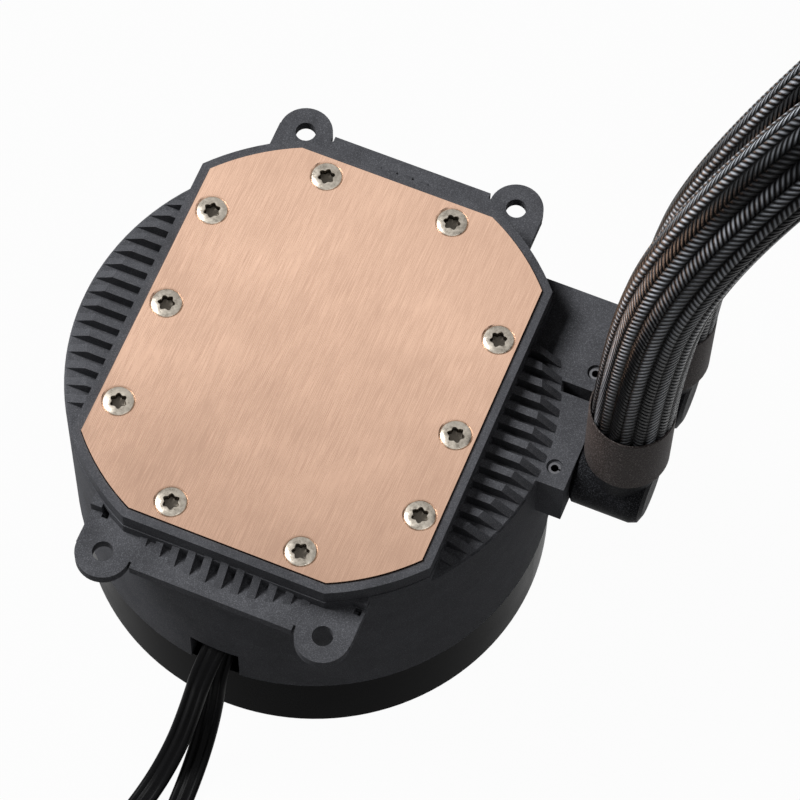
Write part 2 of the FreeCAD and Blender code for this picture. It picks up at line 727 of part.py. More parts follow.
def stator_coils():
    """A winding round each arm of the core."""
    coils = []
    start = CAN_R + FIT + 1.3
    end = STATOR_R - YOKE_T - 0.6
    for k in range(POLES):
        coil = box(start, end, -COIL_W / 2, COIL_W / 2, STATOR_Z - 1.4, STATOR_Z + STATOR_H + 1.4)
        coil = coil.cut(box(start - 1, end + 1, -ARM_W / 2 - FIT, ARM_W / 2 + FIT,
                            STATOR_Z - FIT, STATOR_Z + STATOR_H + FIT))
        coil.rotate(V(0, 0, 0), V(0, 0, 1), k * 360.0 / POLES)
        coils.append(coil)
    return Part.makeCompound(coils)


# Elbows, their seals, pins and sleeves

def elbow(y):
    """A swivel elbow: spigot with seal and pin grooves, barrel, upright stub and barb."""
    groove = RING_WIRE + 0.1
    deep = SPIGOT_R - RING_WIRE
    spigot = turned_x([
        (SPIGOT_END, 0), (SPIGOT_END, SPIGOT_R - 0.4), (SPIGOT_END + 0.4, SPIGOT_R),
        (RING_X - groove / 2, SPIGOT_R), (RING_X - groove / 2, deep), (RING_X + groove / 2, deep),
        (RING_X + groove / 2, SPIGOT_R), (PIN_X - 1.15, SPIGOT_R), (PIN_X - 1.15, PIN_GROOVE_R),
        (PIN_X + 1.15, PIN_GROOVE_R), (PIN_X + 1.15, SPIGOT_R), (PORT_X + GAP, SPIGOT_R),
        (PORT_X + GAP, ELBOW_R - 0.5), (PORT_X + GAP + 0.5, ELBOW_R), (ELBOW_END - 1.8, ELBOW_R),
        (ELBOW_END - 0.5, ELBOW_R - 0.5), (ELBOW_END, ELBOW_R - 1.8), (ELBOW_END, 0),
    ], y, PORT_Z)
    barb_top = SLEEVE_Z + SLEEVE_LIP + HOSE_SOCKET - 0.5
    pitch = (barb_top - SLEEVE_Z - SLEEVE_LIP) / 3
    outline = [(0, PORT_Z), (STUB_R, PORT_Z), (STUB_R, SLEEVE_Z + SLEEVE_LIP)]
    for k in range(3):
        low = SLEEVE_Z + SLEEVE_LIP + k * pitch
        outline += [(BARB_R, low), (BARB_R - 0.7, low + pitch * 0.95)]
    outline += [(BARB_BORE + 0.2, barb_top), (0, barb_top)]
    stub = turned(outline, ELBOW_X, y)
    solid = joined([spigot, stub])
    bores = [
        rod_x(BARB_BORE, SPIGOT_END - 1, ELBOW_X, y, PORT_Z),
        rod(BARB_BORE, PORT_Z, barb_top + 1, ELBOW_X, y),
        Part.makeSphere(BARB_BORE, V(ELBOW_X, y, PORT_Z)),
    ]
    return without(solid, bores)


def elbow_seal(y):
    """The round seal on an elbow's spigot."""
    middle = SPIGOT_R + 0.02 - RING_WIRE / 2
    return Part.makeTorus(middle, RING_WIRE / 2, V(RING_X, y, PORT_Z), V(1, 0, 0))


def elbow_pins():
    """The two rolled pins that hold the elbows in their bores."""
    pins = []
    for y in PORT_Y:
        centre_y = y - PIN_OFFSET
        pin = rod(PIN_R, PORT_BOTTOM + 1.2, PIN_TOP, PIN_X, centre_y)
        pin = pin.cut(rod(PIN_R - 0.38, PORT_BOTTOM, PIN_TOP + 1, PIN_X, centre_y))
        slit = box(PIN_X, PIN_X + 2, centre_y - 0.15, centre_y + 0.15, PORT_BOTTOM, PIN_TOP + 1)
        pins.append(pin.cut(slit))
    return Part.makeCompound(pins)


def sleeve_outline():
    """Half section of a hose sleeve, from its lipped end at 0 to its rim."""
    length = SLEEVE_TOP - SLEEVE_Z
    outer = HOSE_R + 0.02 + SLEEVE_T
    inner = HOSE_R + 0.02
    return [
        (STUB_R + FIT, 0.0), (outer - 1.2, 0.0), (outer - 0.4, 0.4), (outer - 0.05, 1.2),
        (outer, length - 0.3), (outer - 0.1, length), (inner, length), (inner, SLEEVE_LIP),
        (STUB_R + FIT, SLEEVE_LIP),
    ]


def head_sleeve(y):
    """The sleeve over the hose end on an elbow."""
    return turned([(r, z + SLEEVE_Z) for r, z in sleeve_outline()], ELBOW_X, y)


def hose(name, points):
    """A braided hose with a socket in each end for its barb."""
    ring = Part.makeCircle(HOSE_R, V(*points[0]), V(0, 0, 1))
    solid = swept(name, points, Part.Wire([ring]), math.pi * HOSE_R ** 2)
    socket_low = Part.makeCylinder(HOSE_BORE, HOSE_SOCKET, V(*points[0]))
    socket_far = Part.makeCylinder(HOSE_BORE, HOSE_SOCKET, V(*points[-1]), V(0, 1, 0))
    return without(solid, [socket_low, socket_far])


# Flat leads, their coils and plugs

def lead(name, points):
    """A flat lead of three wires, as one band."""
    start = V(*points[0])
    ahead = (V(*points[1]) - start).normalize()
    across = ahead.cross(V(0, 0, 1)).normalize() * (LEAD_W / 2)
    upward = across.cross(ahead).normalize() * (LEAD_T / 2)
    corners = [start - across - upward, start + across - upward, start + across + upward,
               start - across + upward]
    section = Part.makePolygon(corners + corners[:1])
    return swept(name, points, section, LEAD_W * LEAD_T)


def lead_coil(centre):
    """The outer shape of the coil of a lead."""
    x, y = centre
    outer = rod(COIL_MID_R + COIL_RING_W / 2, 0.0, COIL_RING_H, x, y)
    return outer.cut(rod(COIL_MID_R - COIL_RING_W / 2, -1.0, COIL_RING_H + 1, x, y))


def lead_plug(coil, degrees):
    """A three way female connector housing with open sockets and a rib, lying against its coil."""
    shell = box(0, PLUG_L, -PLUG_W / 2, PLUG_W / 2, 0.0, PLUG_H)
    rib = box(2.0, 9.0, -PLUG_W / 2 + 0.8, PLUG_W / 2 - 0.8, PLUG_H - 0.2, PLUG_H + 0.8)
    shell = joined([shell, rib])
    sockets = [box(PLUG_L - 7.0, PLUG_L + 1, k * 2.54 - 0.7, k * 2.54 + 0.7, 2.0, 3.6) for k in (-1, 0, 1)]
    shell = without(shell, sockets)
    shell.rotate(V(0, 0, 0), V(0, 0, 1), degrees)
    shell.translate(V(coil[0], coil[1] - COIL_MID_R - COIL_RING_W / 2 - PLUG_W / 2, 0.0))
    return shell


# Radiator

def rad_edges():
    """Low and high sides of the radiator in Y."""
    return RAD_Y - RAD_W / 2, RAD_Y + RAD_W / 2


def hose_ports():
    """Places in Y of the radiator's two ports."""
    return RAD_Y - PORT_PITCH / 2, RAD_Y + PORT_PITCH / 2


def port_tank():
    """The end tank with both hose ports, its dividing wall and header."""
    y0, y1 = rad_edges()
    z0, z1 = FAN_H, FAN_H + RAD_T
    shell = box(RAD_X, RAD_X + TANK_L, y0, y1, z0, z1)
    outer = [e for e in shell.Edges if e.BoundBox.XMax < RAD_X + 0.1]
    shell = shell.makeFillet(3.0, outer)
    wall = TANK_WALL
    inside = [
        box(RAD_X + wall, RAD_X + TANK_L - wall, y0 + wall, RAD_Y - wall / 2, z0 + wall, z1 - wall),
        box(RAD_X + wall, RAD_X + TANK_L - wall, RAD_Y + wall / 2, y1 - wall, z0 + wall, z1 - wall),
    ]
    stubs = []
    bores = []
    for y in hose_ports():
        barb_x = RAD_HOSE_X
        tip = barb_x - HOSE_SOCKET + 0.5
        pitch = (barb_x - tip) / 3
        outline = [(RAD_X + wall, 0), (RAD_X + wall, STUB_R), (barb_x, STUB_R)]
        for k in range(3):
            x = barb_x - k * pitch
            outline += [(x, BARB_R), (x - pitch * 0.95, BARB_R - 0.7)]
        outline += [(tip, BARB_BORE + 0.2), (tip, 0)]
        stubs.append(turned_x(outline, y, RAD_PORT_Z))
        bores.append(rod_x(BARB_BORE, tip - 1, RAD_X + wall + 1, y, RAD_PORT_Z))
    return without(joined([shell] + stubs), inside + bores + tube_slots(RAD_X + TANK_L - wall - 1, wall + 2))


def tube_places():
    """Places in Y of the flat tubes."""
    y0, y1 = rad_edges()
    inner = RAD_W - 2 * RAIL_T
    space = (inner - TUBES * TUBE_T) / (TUBES + 1)
    return [y0 + RAIL_T + space * (k + 1) + TUBE_T * (k + 0.5) for k in range(TUBES)], space


def tube_slots(x, depth):
    """Slots in a header for the tube ends."""
    places, _space = tube_places()
    half = TUBE_T / 2
    z0 = RAD_PORT_Z - TUBE_W / 2
    return [box(x, x + depth, y - half, y + half, z0, z0 + TUBE_W) for y in places]


def return_tank():
    """The tank at the far end, where the coolant turns back."""
    y0, y1 = rad_edges()
    z0, z1 = FAN_H, FAN_H + RAD_T
    x1 = RAD_X + RAD_L
    x0 = x1 - TANK_BACK
    shell = box(x0, x1, y0, y1, z0, z1)
    outer = [e for e in shell.Edges if e.BoundBox.XMin > x1 - 0.1]
    shell = shell.makeFillet(3.0, outer)
    wall = TANK_WALL
    inside = [box(x0 + wall, x1 - wall, y0 + wall, y1 - wall, z0 + wall, z1 - wall)]
    return without(shell, inside + tube_slots(x0 - 1, wall + 2))


def radiator_tubes():
    """The flat tubes, set into both headers."""
    places, _space = tube_places()
    x0 = RAD_X + TANK_L - TANK_WALL
    x1 = RAD_X + RAD_L - TANK_BACK + TANK_WALL
    z0 = RAD_PORT_Z - TUBE_W / 2
    half = TUBE_T / 2
    return Part.makeCompound([box(x0, x1, y - half, y + half, z0, z0 + TUBE_W) for y in places])


def radiator_fins():
    """The folded strips between the tubes."""
    places, space = tube_places()
    x0 = RAD_X + TANK_L + 0.5
    x1 = RAD_X + RAD_L - TANK_BACK - 0.5
    count = int((x1 - x0) / FIN_STRIP_STEP)
    step = (x1 - x0) / count
    z0 = RAD_PORT_Z - TUBE_W / 2
    strips = []
    lows = [places[0] - TUBE_T / 2 - space] + [y + TUBE_T / 2 for y in places]
    for low in lows:
        near = [V(x0 + k * step, low + (space - FIN_STRIP_T if k % 2 else 0.0), z0)
                for k in range(count + 1)]
        far = [V(p.x, p.y + FIN_STRIP_T, z0) for p in reversed(near)]
        strips.append(Part.Face(Part.makePolygon(near + far + near[:1])).extrude(V(0, 0, TUBE_W)))
    return Part.makeCompound(strips)


def side_rail(low_side):
    """One of the channel shaped rails, drilled for the fan and case screws."""
    y0, y1 = rad_edges()
    x0 = RAD_X + TANK_L
    x1 = RAD_X + RAD_L - TANK_BACK
    z0, z1 = FAN_H, FAN_H + RAD_T
    edge = y0 if low_side else y1
    way = 1 if low_side else -1
    web = box(x0, x1, min(edge, edge + way * RAIL_T), max(edge, edge + way * RAIL_T), z0, z1)
    reach = edge + way * (RAIL_T + RAIL_FLANGE)
    flanges = [box(x0, x1, min(edge, reach), max(edge, reach), z, z + RAIL_T) for z in (z0, z1 - RAIL_T)]
    y = RAD_Y - way * HOLE_PITCH / 2
    tapped = [rod(RAD_TAP_R, z0 - 1, z0 + RAIL_T + 1, x, y) for x in screw_places()]
    holes = [rod(RAD_HOLE_R, z1 - RAIL_T - 1, z1 + 1, x, y) for x in screw_places()]
    return without(joined([web] + flanges), tapped + holes)


def fan_centre():
    """Middle of the fan in X."""
    return RAD_X + TANK_L + (RAD_L - TANK_L - TANK_BACK) / 2


def screw_places():
    """Places in X of the fan and case screws."""
    return fan_centre() - HOLE_PITCH / 2, fan_centre() + HOLE_PITCH / 2


def radiator_sleeves():
    """The sleeves over the hose ends at the radiator."""
    sleeves = []
    for y in hose_ports():
        start = RAD_HOSE_X + SLEEVE_LIP
        sleeves.append(turned_x([(start - z, r) for r, z in sleeve_outline()], y, RAD_PORT_Z))
    return Part.makeCompound(sleeves)


# Fan

def fan_frame():
    """The square fan frame with its duct, corner flanges, struts and motor seat."""
    cx = fan_centre()
    half = FAN_SIZE / 2
    block = box(-half, half, -half, half, 0.0, FAN_H)
    corners = [e for e in block.Edges if abs(e.Vertexes[0].Z - e.Vertexes[-1].Z) > 1]
    block = block.makeFillet(6.0, corners)
    duct = rod(FAN_BORE + FAN_WALL, -1, FAN_H + 1)
    flange = 3.6
    relief = box(-half - 1, half + 1, -half - 1, half + 1, flange, FAN_H - flange).cut(duct)
    keep = []
    for sx in (-1, 1):
        for sy in (-1, 1):
            keep.append(rod(4.6, flange - 1, FAN_H - flange + 1, sx * HOLE_PITCH / 2, sy * HOLE_PITCH / 2))
    relief = without(relief, keep)
    bore = rod(FAN_BORE, -1, FAN_H + 1)
    seat = rod(FAN_HUB_R + 1.0, 0.0, 3.0)
    struts = []
    for k in range(4):
        strut = box(FAN_HUB_R - 1, FAN_BORE + 1.0, -2.0, 2.0, 0.0, 3.0)
        strut.rotate(V(0, 0, 0), V(0, 0, 1), 25.0 + 90.0 * k)
        struts.append(strut)
    post = rod(4.0, 3.0, 15.0)
    holes = [rod(SHAFT_R + FIT, 6.0, 16.0)]
    for sx in (-1, 1):
        for sy in (-1, 1):
            holes.append(rod(2.15, -1, FAN_H + 1, sx * HOLE_PITCH / 2, sy * HOLE_PITCH / 2))
            holes.append(rod(FAN_HEAD_R + 0.2, -1, FAN_HEAD_Z, sx * HOLE_PITCH / 2, sy * HOLE_PITCH / 2))
    notch = box(-half - 1, -half + 6, -14.0, -8.0, -1, 2.0)
    frame = without(block, [bore, relief])
    frame = without(joined([frame, seat, post] + struts), holes + [notch])
    frame.translate(V(cx, RAD_Y, 0))
    return frame


def blade_section(radius, pitch, chord, thick):
    """A thin curved section of a fan blade, standing across the radius."""
    half = chord / 2
    lean = math.radians(pitch)
    outline = []
    for along, lift in ((-half, 0.0), (0.0, chord * 0.09), (half, 0.0), (half, thick),
                        (0.0, chord * 0.09 + thick), (-half, thick)):
        y = along * math.cos(lean) - lift * math.sin(lean)
        z = along * math.sin(lean) + lift * math.cos(lean)
        outline.append(V(radius, y, z + 14.0))
    lower = Part.Arc(outline[0], outline[1], outline[2]).toShape()
    end = Part.LineSegment(outline[2], outline[3]).toShape()
    upper = Part.Arc(outline[3], outline[4], outline[5]).toShape()
    start = Part.LineSegment(outline[5], outline[0]).toShape()
    return Part.Wire([lower, end, upper, start])


def fan_rotor():
    """Hub cup with its shaft and nine twisted blades."""
    cup = turned([
        (0, 22.4), (FAN_HUB_R - 1.0, 22.4), (FAN_HUB_R, 21.4), (FAN_HUB_R, 4.0), (FAN_HUB_R - 1.4, 4.0),
        (FAN_HUB_R - 1.4, 21.0), (0, 21.0),
    ])
    shaft = rod(SHAFT_R, 6.5, 21.5)
    disc = rod(FAN_BLADE_R, 3.5, 24.0)
    blades = []
    for k in range(BLADES):
        sections = [blade_section(FAN_HUB_R - 1.2, 42.0, 19.0, 1.6), blade_section(38.0, 31.0, 25.0, 1.4),
                    blade_section(FAN_BLADE_R + 1.0, 24.0, 31.0, 1.1)]
        blade = Part.makeLoft(sections, True)
        blade = blade.common(disc).cut(rod(FAN_HUB_R - 0.6, 0, FAN_H))
        blade.rotate(V(0, 0, 0), V(0, 0, 1), k * 360.0 / BLADES)
        blades.append(blade)
    rotor = joined([cup, shaft] + blades)
    rotor.translate(V(fan_centre(), RAD_Y, 0))
    return rotor


def fan_magnet():
    """The ring magnet inside the fan's hub."""
    outer = FAN_HUB_R - 1.4
    ring = turned([(outer - 2.2, 6.0), (outer, 6.0), (outer, 20.0), (outer - 2.2, 20.0)])
    ring.translate(V(fan_centre(), RAD_Y, 0))
    return ring


def fan_stator():
    """The wound core of the fan's motor, on the seat's post."""
    ring = rod(9.0, 5.5, 17.0).cut(rod(4.0 + 0.02, 5, 18))
    arms = []
    for k in range(4):
        arm = box(6.0, 15.4, -4.0, 4.0, 7.0, 15.5)
        arm = arm.common(rod(15.4, 5, 18))
        arm.rotate(V(0, 0, 0), V(0, 0, 1), 90.0 * k)
        arms.append(arm)
    core = joined([ring] + arms).cut(rod(4.0 + 0.02, 5, 18))
    core.translate(V(fan_centre(), RAD_Y, 0))
    return core


def fan_coils():
    """A winding round each arm of the fan's core."""
    coils = []
    for k in range(4):
        coil = box(9.6, 13.4, -5.2, 5.2, 5.8, 16.7).cut(box(9, 14, -4.0, 4.0, 7.0, 15.5))
        coil.rotate(V(0, 0, 0), V(0, 0, 1), 90.0 * k)
        coil.translate(V(fan_centre(), RAD_Y, 0))
        coils.append(coil)
    return Part.makeCompound(coils)


def fan_screws():
    """Four long screws through the fan into the radiator's rails."""
    screws = []
    for x in screw_places():
        for y in (RAD_Y - HOLE_PITCH / 2, RAD_Y + HOLE_PITCH / 2):
            screws.append(pan_screw(x, y, FAN_HEAD_Z, FAN_SCREW_TIP, FAN_HEAD_R, RAD_TAP_R - FIT, 2.4))
    return Part.makeCompound(screws)


def main():
    """Build and write every node."""
    os.makedirs("parts", exist_ok=True)
    save("top_cover", top_cover())
    save("light_diffuser", light_diffuser())
    save("circuit_board", circuit_board())
    save("light_chips", light_chips())
    save("board_screws", board_screws())
    save("pump_body", pump_body())
    save("cold_plate", cold_plate())
    save("plate_screws", plate_screws())
    save("plate_gasket", plate_gasket())
    save("flow_plate", flow_plate())
    save("impeller", impeller())
    save("impeller_bush", impeller_bush())
    save("rotor_magnet", rotor_magnet())
    save("pump_shaft", pump_shaft())
    save("rotor_can", rotor_can())
    save("can_seal", can_seal())
    save("can_screws", can_screws())
    save("stator_core", stator_core())
    save("stator_coils", stator_coils())
    for name, y in zip(("front", "rear"), PORT_Y):
        save(name + "_elbow", elbow(y))
        save(name + "_elbow_seal", elbow_seal(y))
        save(name + "_sleeve", head_sleeve(y))
    save("elbow_pins", elbow_pins())
    save("front_hose", hose("front_hose", FRONT_HOSE))
    save("rear_hose", hose("rear_hose", REAR_HOSE))
    save("pump_lead", lead("pump_lead", PUMP_LEAD))
    save("light_lead", lead("light_lead", LIGHT_LEAD))
    save("pump_lead_coil", lead_coil(PUMP_COIL))
    save("light_lead_coil", lead_coil(LIGHT_COIL))
    save("pump_lead_plug", lead_plug(PUMP_COIL, 180.0))
    save("light_lead_plug", lead_plug(LIGHT_COIL, 0.0))
    save("port_tank", set_down(port_tank()))
    save("return_tank", set_down(return_tank()))
    save("radiator_tubes", set_down(radiator_tubes()))
    save("radiator_fins", set_down(radiator_fins()))
    save("left_rail", set_down(side_rail(True)))
    save("right_rail", set_down(side_rail(False)))
    save("radiator_sleeves", set_down(radiator_sleeves()))
    save("fan_frame", set_down(fan_frame()))
    save("fan_rotor", set_down(fan_rotor()))
    save("fan_magnet", set_down(fan_magnet()))
    save("fan_stator", set_down(fan_stator()))
    save("fan_coils", set_down(fan_coils()))
    save("fan_screws", set_down(fan_screws()))


main()
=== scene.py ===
"""The liquid cooler of the photograph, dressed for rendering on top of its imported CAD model.

The pump head lies on its cap with the copper cold plate up. Two braided hoses rise from its swivel
elbows and cross over to the radiator, which lies on its fan outside the picture. Two flat leads leave
the head's lower edge and end in coils with their plugs, also outside the picture.
"""
from __future__ import annotations

import logging
import math
from dataclasses import dataclass, field
from enum import Enum
from typing import Any, Sequence

import bpy
import numpy as np
from mathutils import Matrix, Vector

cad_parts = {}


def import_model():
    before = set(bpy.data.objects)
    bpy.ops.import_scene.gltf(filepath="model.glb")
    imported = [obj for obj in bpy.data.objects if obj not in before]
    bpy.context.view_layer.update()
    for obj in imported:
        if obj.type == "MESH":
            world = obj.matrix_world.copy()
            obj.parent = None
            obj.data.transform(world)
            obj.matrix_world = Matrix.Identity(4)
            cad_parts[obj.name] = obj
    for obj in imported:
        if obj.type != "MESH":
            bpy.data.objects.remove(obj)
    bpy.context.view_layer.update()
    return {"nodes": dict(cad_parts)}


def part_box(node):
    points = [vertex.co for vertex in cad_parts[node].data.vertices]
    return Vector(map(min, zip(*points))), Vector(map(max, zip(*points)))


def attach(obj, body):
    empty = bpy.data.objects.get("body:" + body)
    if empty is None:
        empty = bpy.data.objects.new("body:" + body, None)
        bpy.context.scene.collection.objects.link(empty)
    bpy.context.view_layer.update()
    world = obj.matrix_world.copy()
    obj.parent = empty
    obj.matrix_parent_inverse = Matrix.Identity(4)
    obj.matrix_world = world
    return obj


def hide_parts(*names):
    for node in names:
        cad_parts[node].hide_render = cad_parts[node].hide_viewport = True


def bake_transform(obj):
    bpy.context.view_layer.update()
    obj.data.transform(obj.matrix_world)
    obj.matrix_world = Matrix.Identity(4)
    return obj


LOG = logging.getLogger("cooler")
MM = 0.001
TURN = 2.0 * math.pi
SHARP_ANGLE = math.radians(38.0)
ROUTE_SAMPLES = 24
FEWEST_POINTS = 3
SCREW_TOP = 56.42

Point = tuple[float, float, float]
Colour = tuple[float, float, float]
Range = tuple[float, float]


class Body(Enum):
    """The rigid bodies of the CAD model that new pieces ride on."""

    COOLER = "cooler"
    FRONT = "front_swivel"
    REAR = "rear_swivel"


class Way(Enum):
    """Which way a coil is wound, as seen from above."""

    CLOCKWISE = -1
    ANTICLOCKWISE = 1


# Shading


class Value:
    """A node socket that takes part in arithmetic, one Math node for each operation."""

    def __init__(self, shade: "Shade", socket: Any) -> None:
        """Wrap one output socket of a material."""
        self.shade = shade
        self.socket = socket

    def math(self, operation: str, *others: Any, clamp: bool = False) -> "Value":
        """Apply one Math operation to this value and up to two others."""
        settings = {"operation": operation, "use_clamp": clamp}
        return self.shade.node("ShaderNodeMath", settings, dict(enumerate((self, *others))))

    def __add__(self, other: Any) -> "Value":
        """Sum."""
        return self.math("ADD", other)

    __radd__ = __add__

    def __sub__(self, other: Any) -> "Value":
        """Difference."""
        return self.math("SUBTRACT", other)

    def __rsub__(self, other: Any) -> "Value":
        """Difference from a number."""
        return (self * -1.0) + other

    def __mul__(self, other: Any) -> "Value":
        """Product."""
        return self.math("MULTIPLY", other)

    __rmul__ = __mul__

    def __pow__(self, other: Any) -> "Value":
        """Power."""
        return self.math("POWER", other)

    def arch(self) -> "Value":
        """A half wave, nought at whole numbers and one half way between them."""
        return (self.math("FRACT") * math.pi).math("SINE")

    def held(self) -> "Value":
        """Kept between nought and one."""
        return self.math("ADD", 0.0, clamp=True)

    def span(self, low: float, high: float) -> "Value":
        """Stretch the stretch from low to high over nought to one, and hold it there."""
        return ((self - low) * (1.0 / (high - low))).held()


class Shade:
    """Builds one node material round a Principled shader."""

    def __init__(self, name: str) -> None:
        """Start an empty material with its output and Principled shader.

        Args:
            name: Name of the material.
        """
        self.material = bpy.data.materials.new(name)
        self.material.use_nodes = True
        self.tree = self.material.node_tree
        self.tree.nodes.clear()
        self.output = self.tree.nodes.new("ShaderNodeOutputMaterial")
        self.shader = self.tree.nodes.new("ShaderNodeBsdfPrincipled")
        self.tree.links.new(self.shader.outputs[0], self.output.inputs[0])

    def node(self, kind: str, settings: dict[str, Any], values: dict[Any, Any], out: Any = 0) -> Value:
        """Add a node.

        Args:
            kind: Type of the node.
            settings: Attributes that are set first.
            values: Socket name or number to a number, colour or Value.
            out: Name or number of the output that is handed back.

        Returns:
            The chosen output as a Value.
        """
        node = self.tree.nodes.new(kind)
        for key, setting in settings.items():
            setattr(node, key, setting)
        for key, value in values.items():
            self.feed(node.inputs[key], value)
        return Value(self, node.outputs[out])

    def feed(self, socket: Any, value: Any) -> None:
        """Link a Value to a socket, or set the socket to a number or colour.

        Args:
            socket: Input socket of a node.
            value: A Value, a number, a vector or a colour.
        """
        if isinstance(value, Value):
            self.tree.links.new(value.socket, socket)
        elif isinstance(value, tuple) and socket.type == "RGBA":
            socket.default_value = (*value, 1.0)
        else:
            socket.default_value = value

    def surface(self, **values: Any) -> None:
        """Set sockets of the Principled shader, with underscores for the spaces in their names."""
        for key, value in values.items():
            self.feed(self.shader.inputs[key.replace("_", " ")], value)

    def place(self) -> Value:
        """Object coordinates, which are the row frame in metres."""
        return self.node("ShaderNodeTexCoord", {}, {}, "Object")

    def parts(self, vector: Value) -> tuple[Value, Value, Value]:
        """The three coordinates of a vector."""
        outputs = self.node("ShaderNodeSeparateXYZ", {}, {0: vector}).socket.node.outputs
        return Value(self, outputs[0]), Value(self, outputs[1]), Value(self, outputs[2])

    def stretched(self, vector: Value, scale: Point) -> Value:
        """A vector with each coordinate scaled."""
        return self.node("ShaderNodeVectorMath", {"operation": "MULTIPLY"}, {0: vector, 1: scale})

    def noise(self, vector: Value, scale: float, detail: float = 3.0, rough: float = 0.5) -> Value:
        """Smooth noise from nought to one."""
        values = {"Vector": vector, "Scale": scale, "Detail": detail, "Roughness": rough}
        return self.node("ShaderNodeTexNoise", {}, values, 0)

    def blend(self, share: Any, low: Any, high: Any) -> Value:
        """A colour between two colours."""
        return self.node("ShaderNodeMix", {"data_type": "RGBA"}, {0: share, 6: low, 7: high}, 2)

    def relief(self, height: Value, depth: float, strength: float = 1.0) -> Value:
        """A normal bent by a height from nought to one, over a depth in metres."""
        values = {"Strength": strength, "Distance": depth, "Height": height}
        return self.node("ShaderNodeBump", {}, values)


def scaled(colour: Colour, share: float) -> Colour:
    """A colour with each channel scaled, and at most one."""
    return tuple(min(1.0, channel * share) for channel in colour)


@dataclass(frozen=True)
class Plain:
    """A finish of one colour with centimetre wide mottling, fine grain and an uneven gloss.

    Attributes:
        name: Name of the material.
        colour: Its middle colour.
        roughness: Middle roughness.
        metallic: One for bare metal.
        mottle: Share by which the colour strays either way.
        grain: Scale of the grain.
        relief: Depth of the grain in metres.
        index: Index of refraction.
        patch: Scale of the mottling.
        mottle_range: Stretch of the noise that runs from the darker to the paler colour.
        gloss_spread: How far the roughness strays over the surface.
    """

    name: str
    colour: Colour
    roughness: float = 0.5
    metallic: float = 0.0
    mottle: float = 0.25
    grain: float = 3000.0
    relief: float = 0.00002
    index: float = 1.5
    patch: float = 90.0
    mottle_range: Range = (0.3, 0.7)
    gloss_spread: float = 0.3

    def build(self) -> bpy.types.Material:
        """Make the material: patches and grain in equal parts blend a darker into a paler colour.

        Returns:
            The material.
        """
        shade = Shade(self.name)
        place = shade.place()
        patch = shade.noise(place, self.patch, detail=4.0)
        grain = shade.noise(place, self.grain, detail=2.0)
        dark, light = scaled(self.colour, 1.0 - self.mottle), scaled(self.colour, 1.0 + self.mottle)
        share = (patch * 0.5 + grain * 0.5).span(*self.mottle_range)
        shade.surface(
            Base_Color=shade.blend(share, dark, light),
            Metallic=self.metallic,
            Roughness=(patch * self.gloss_spread + (self.roughness - self.gloss_spread / 2)).held(),
            Normal=shade.relief(grain, self.relief),
            IOR=self.index,
        )
        return shade.material


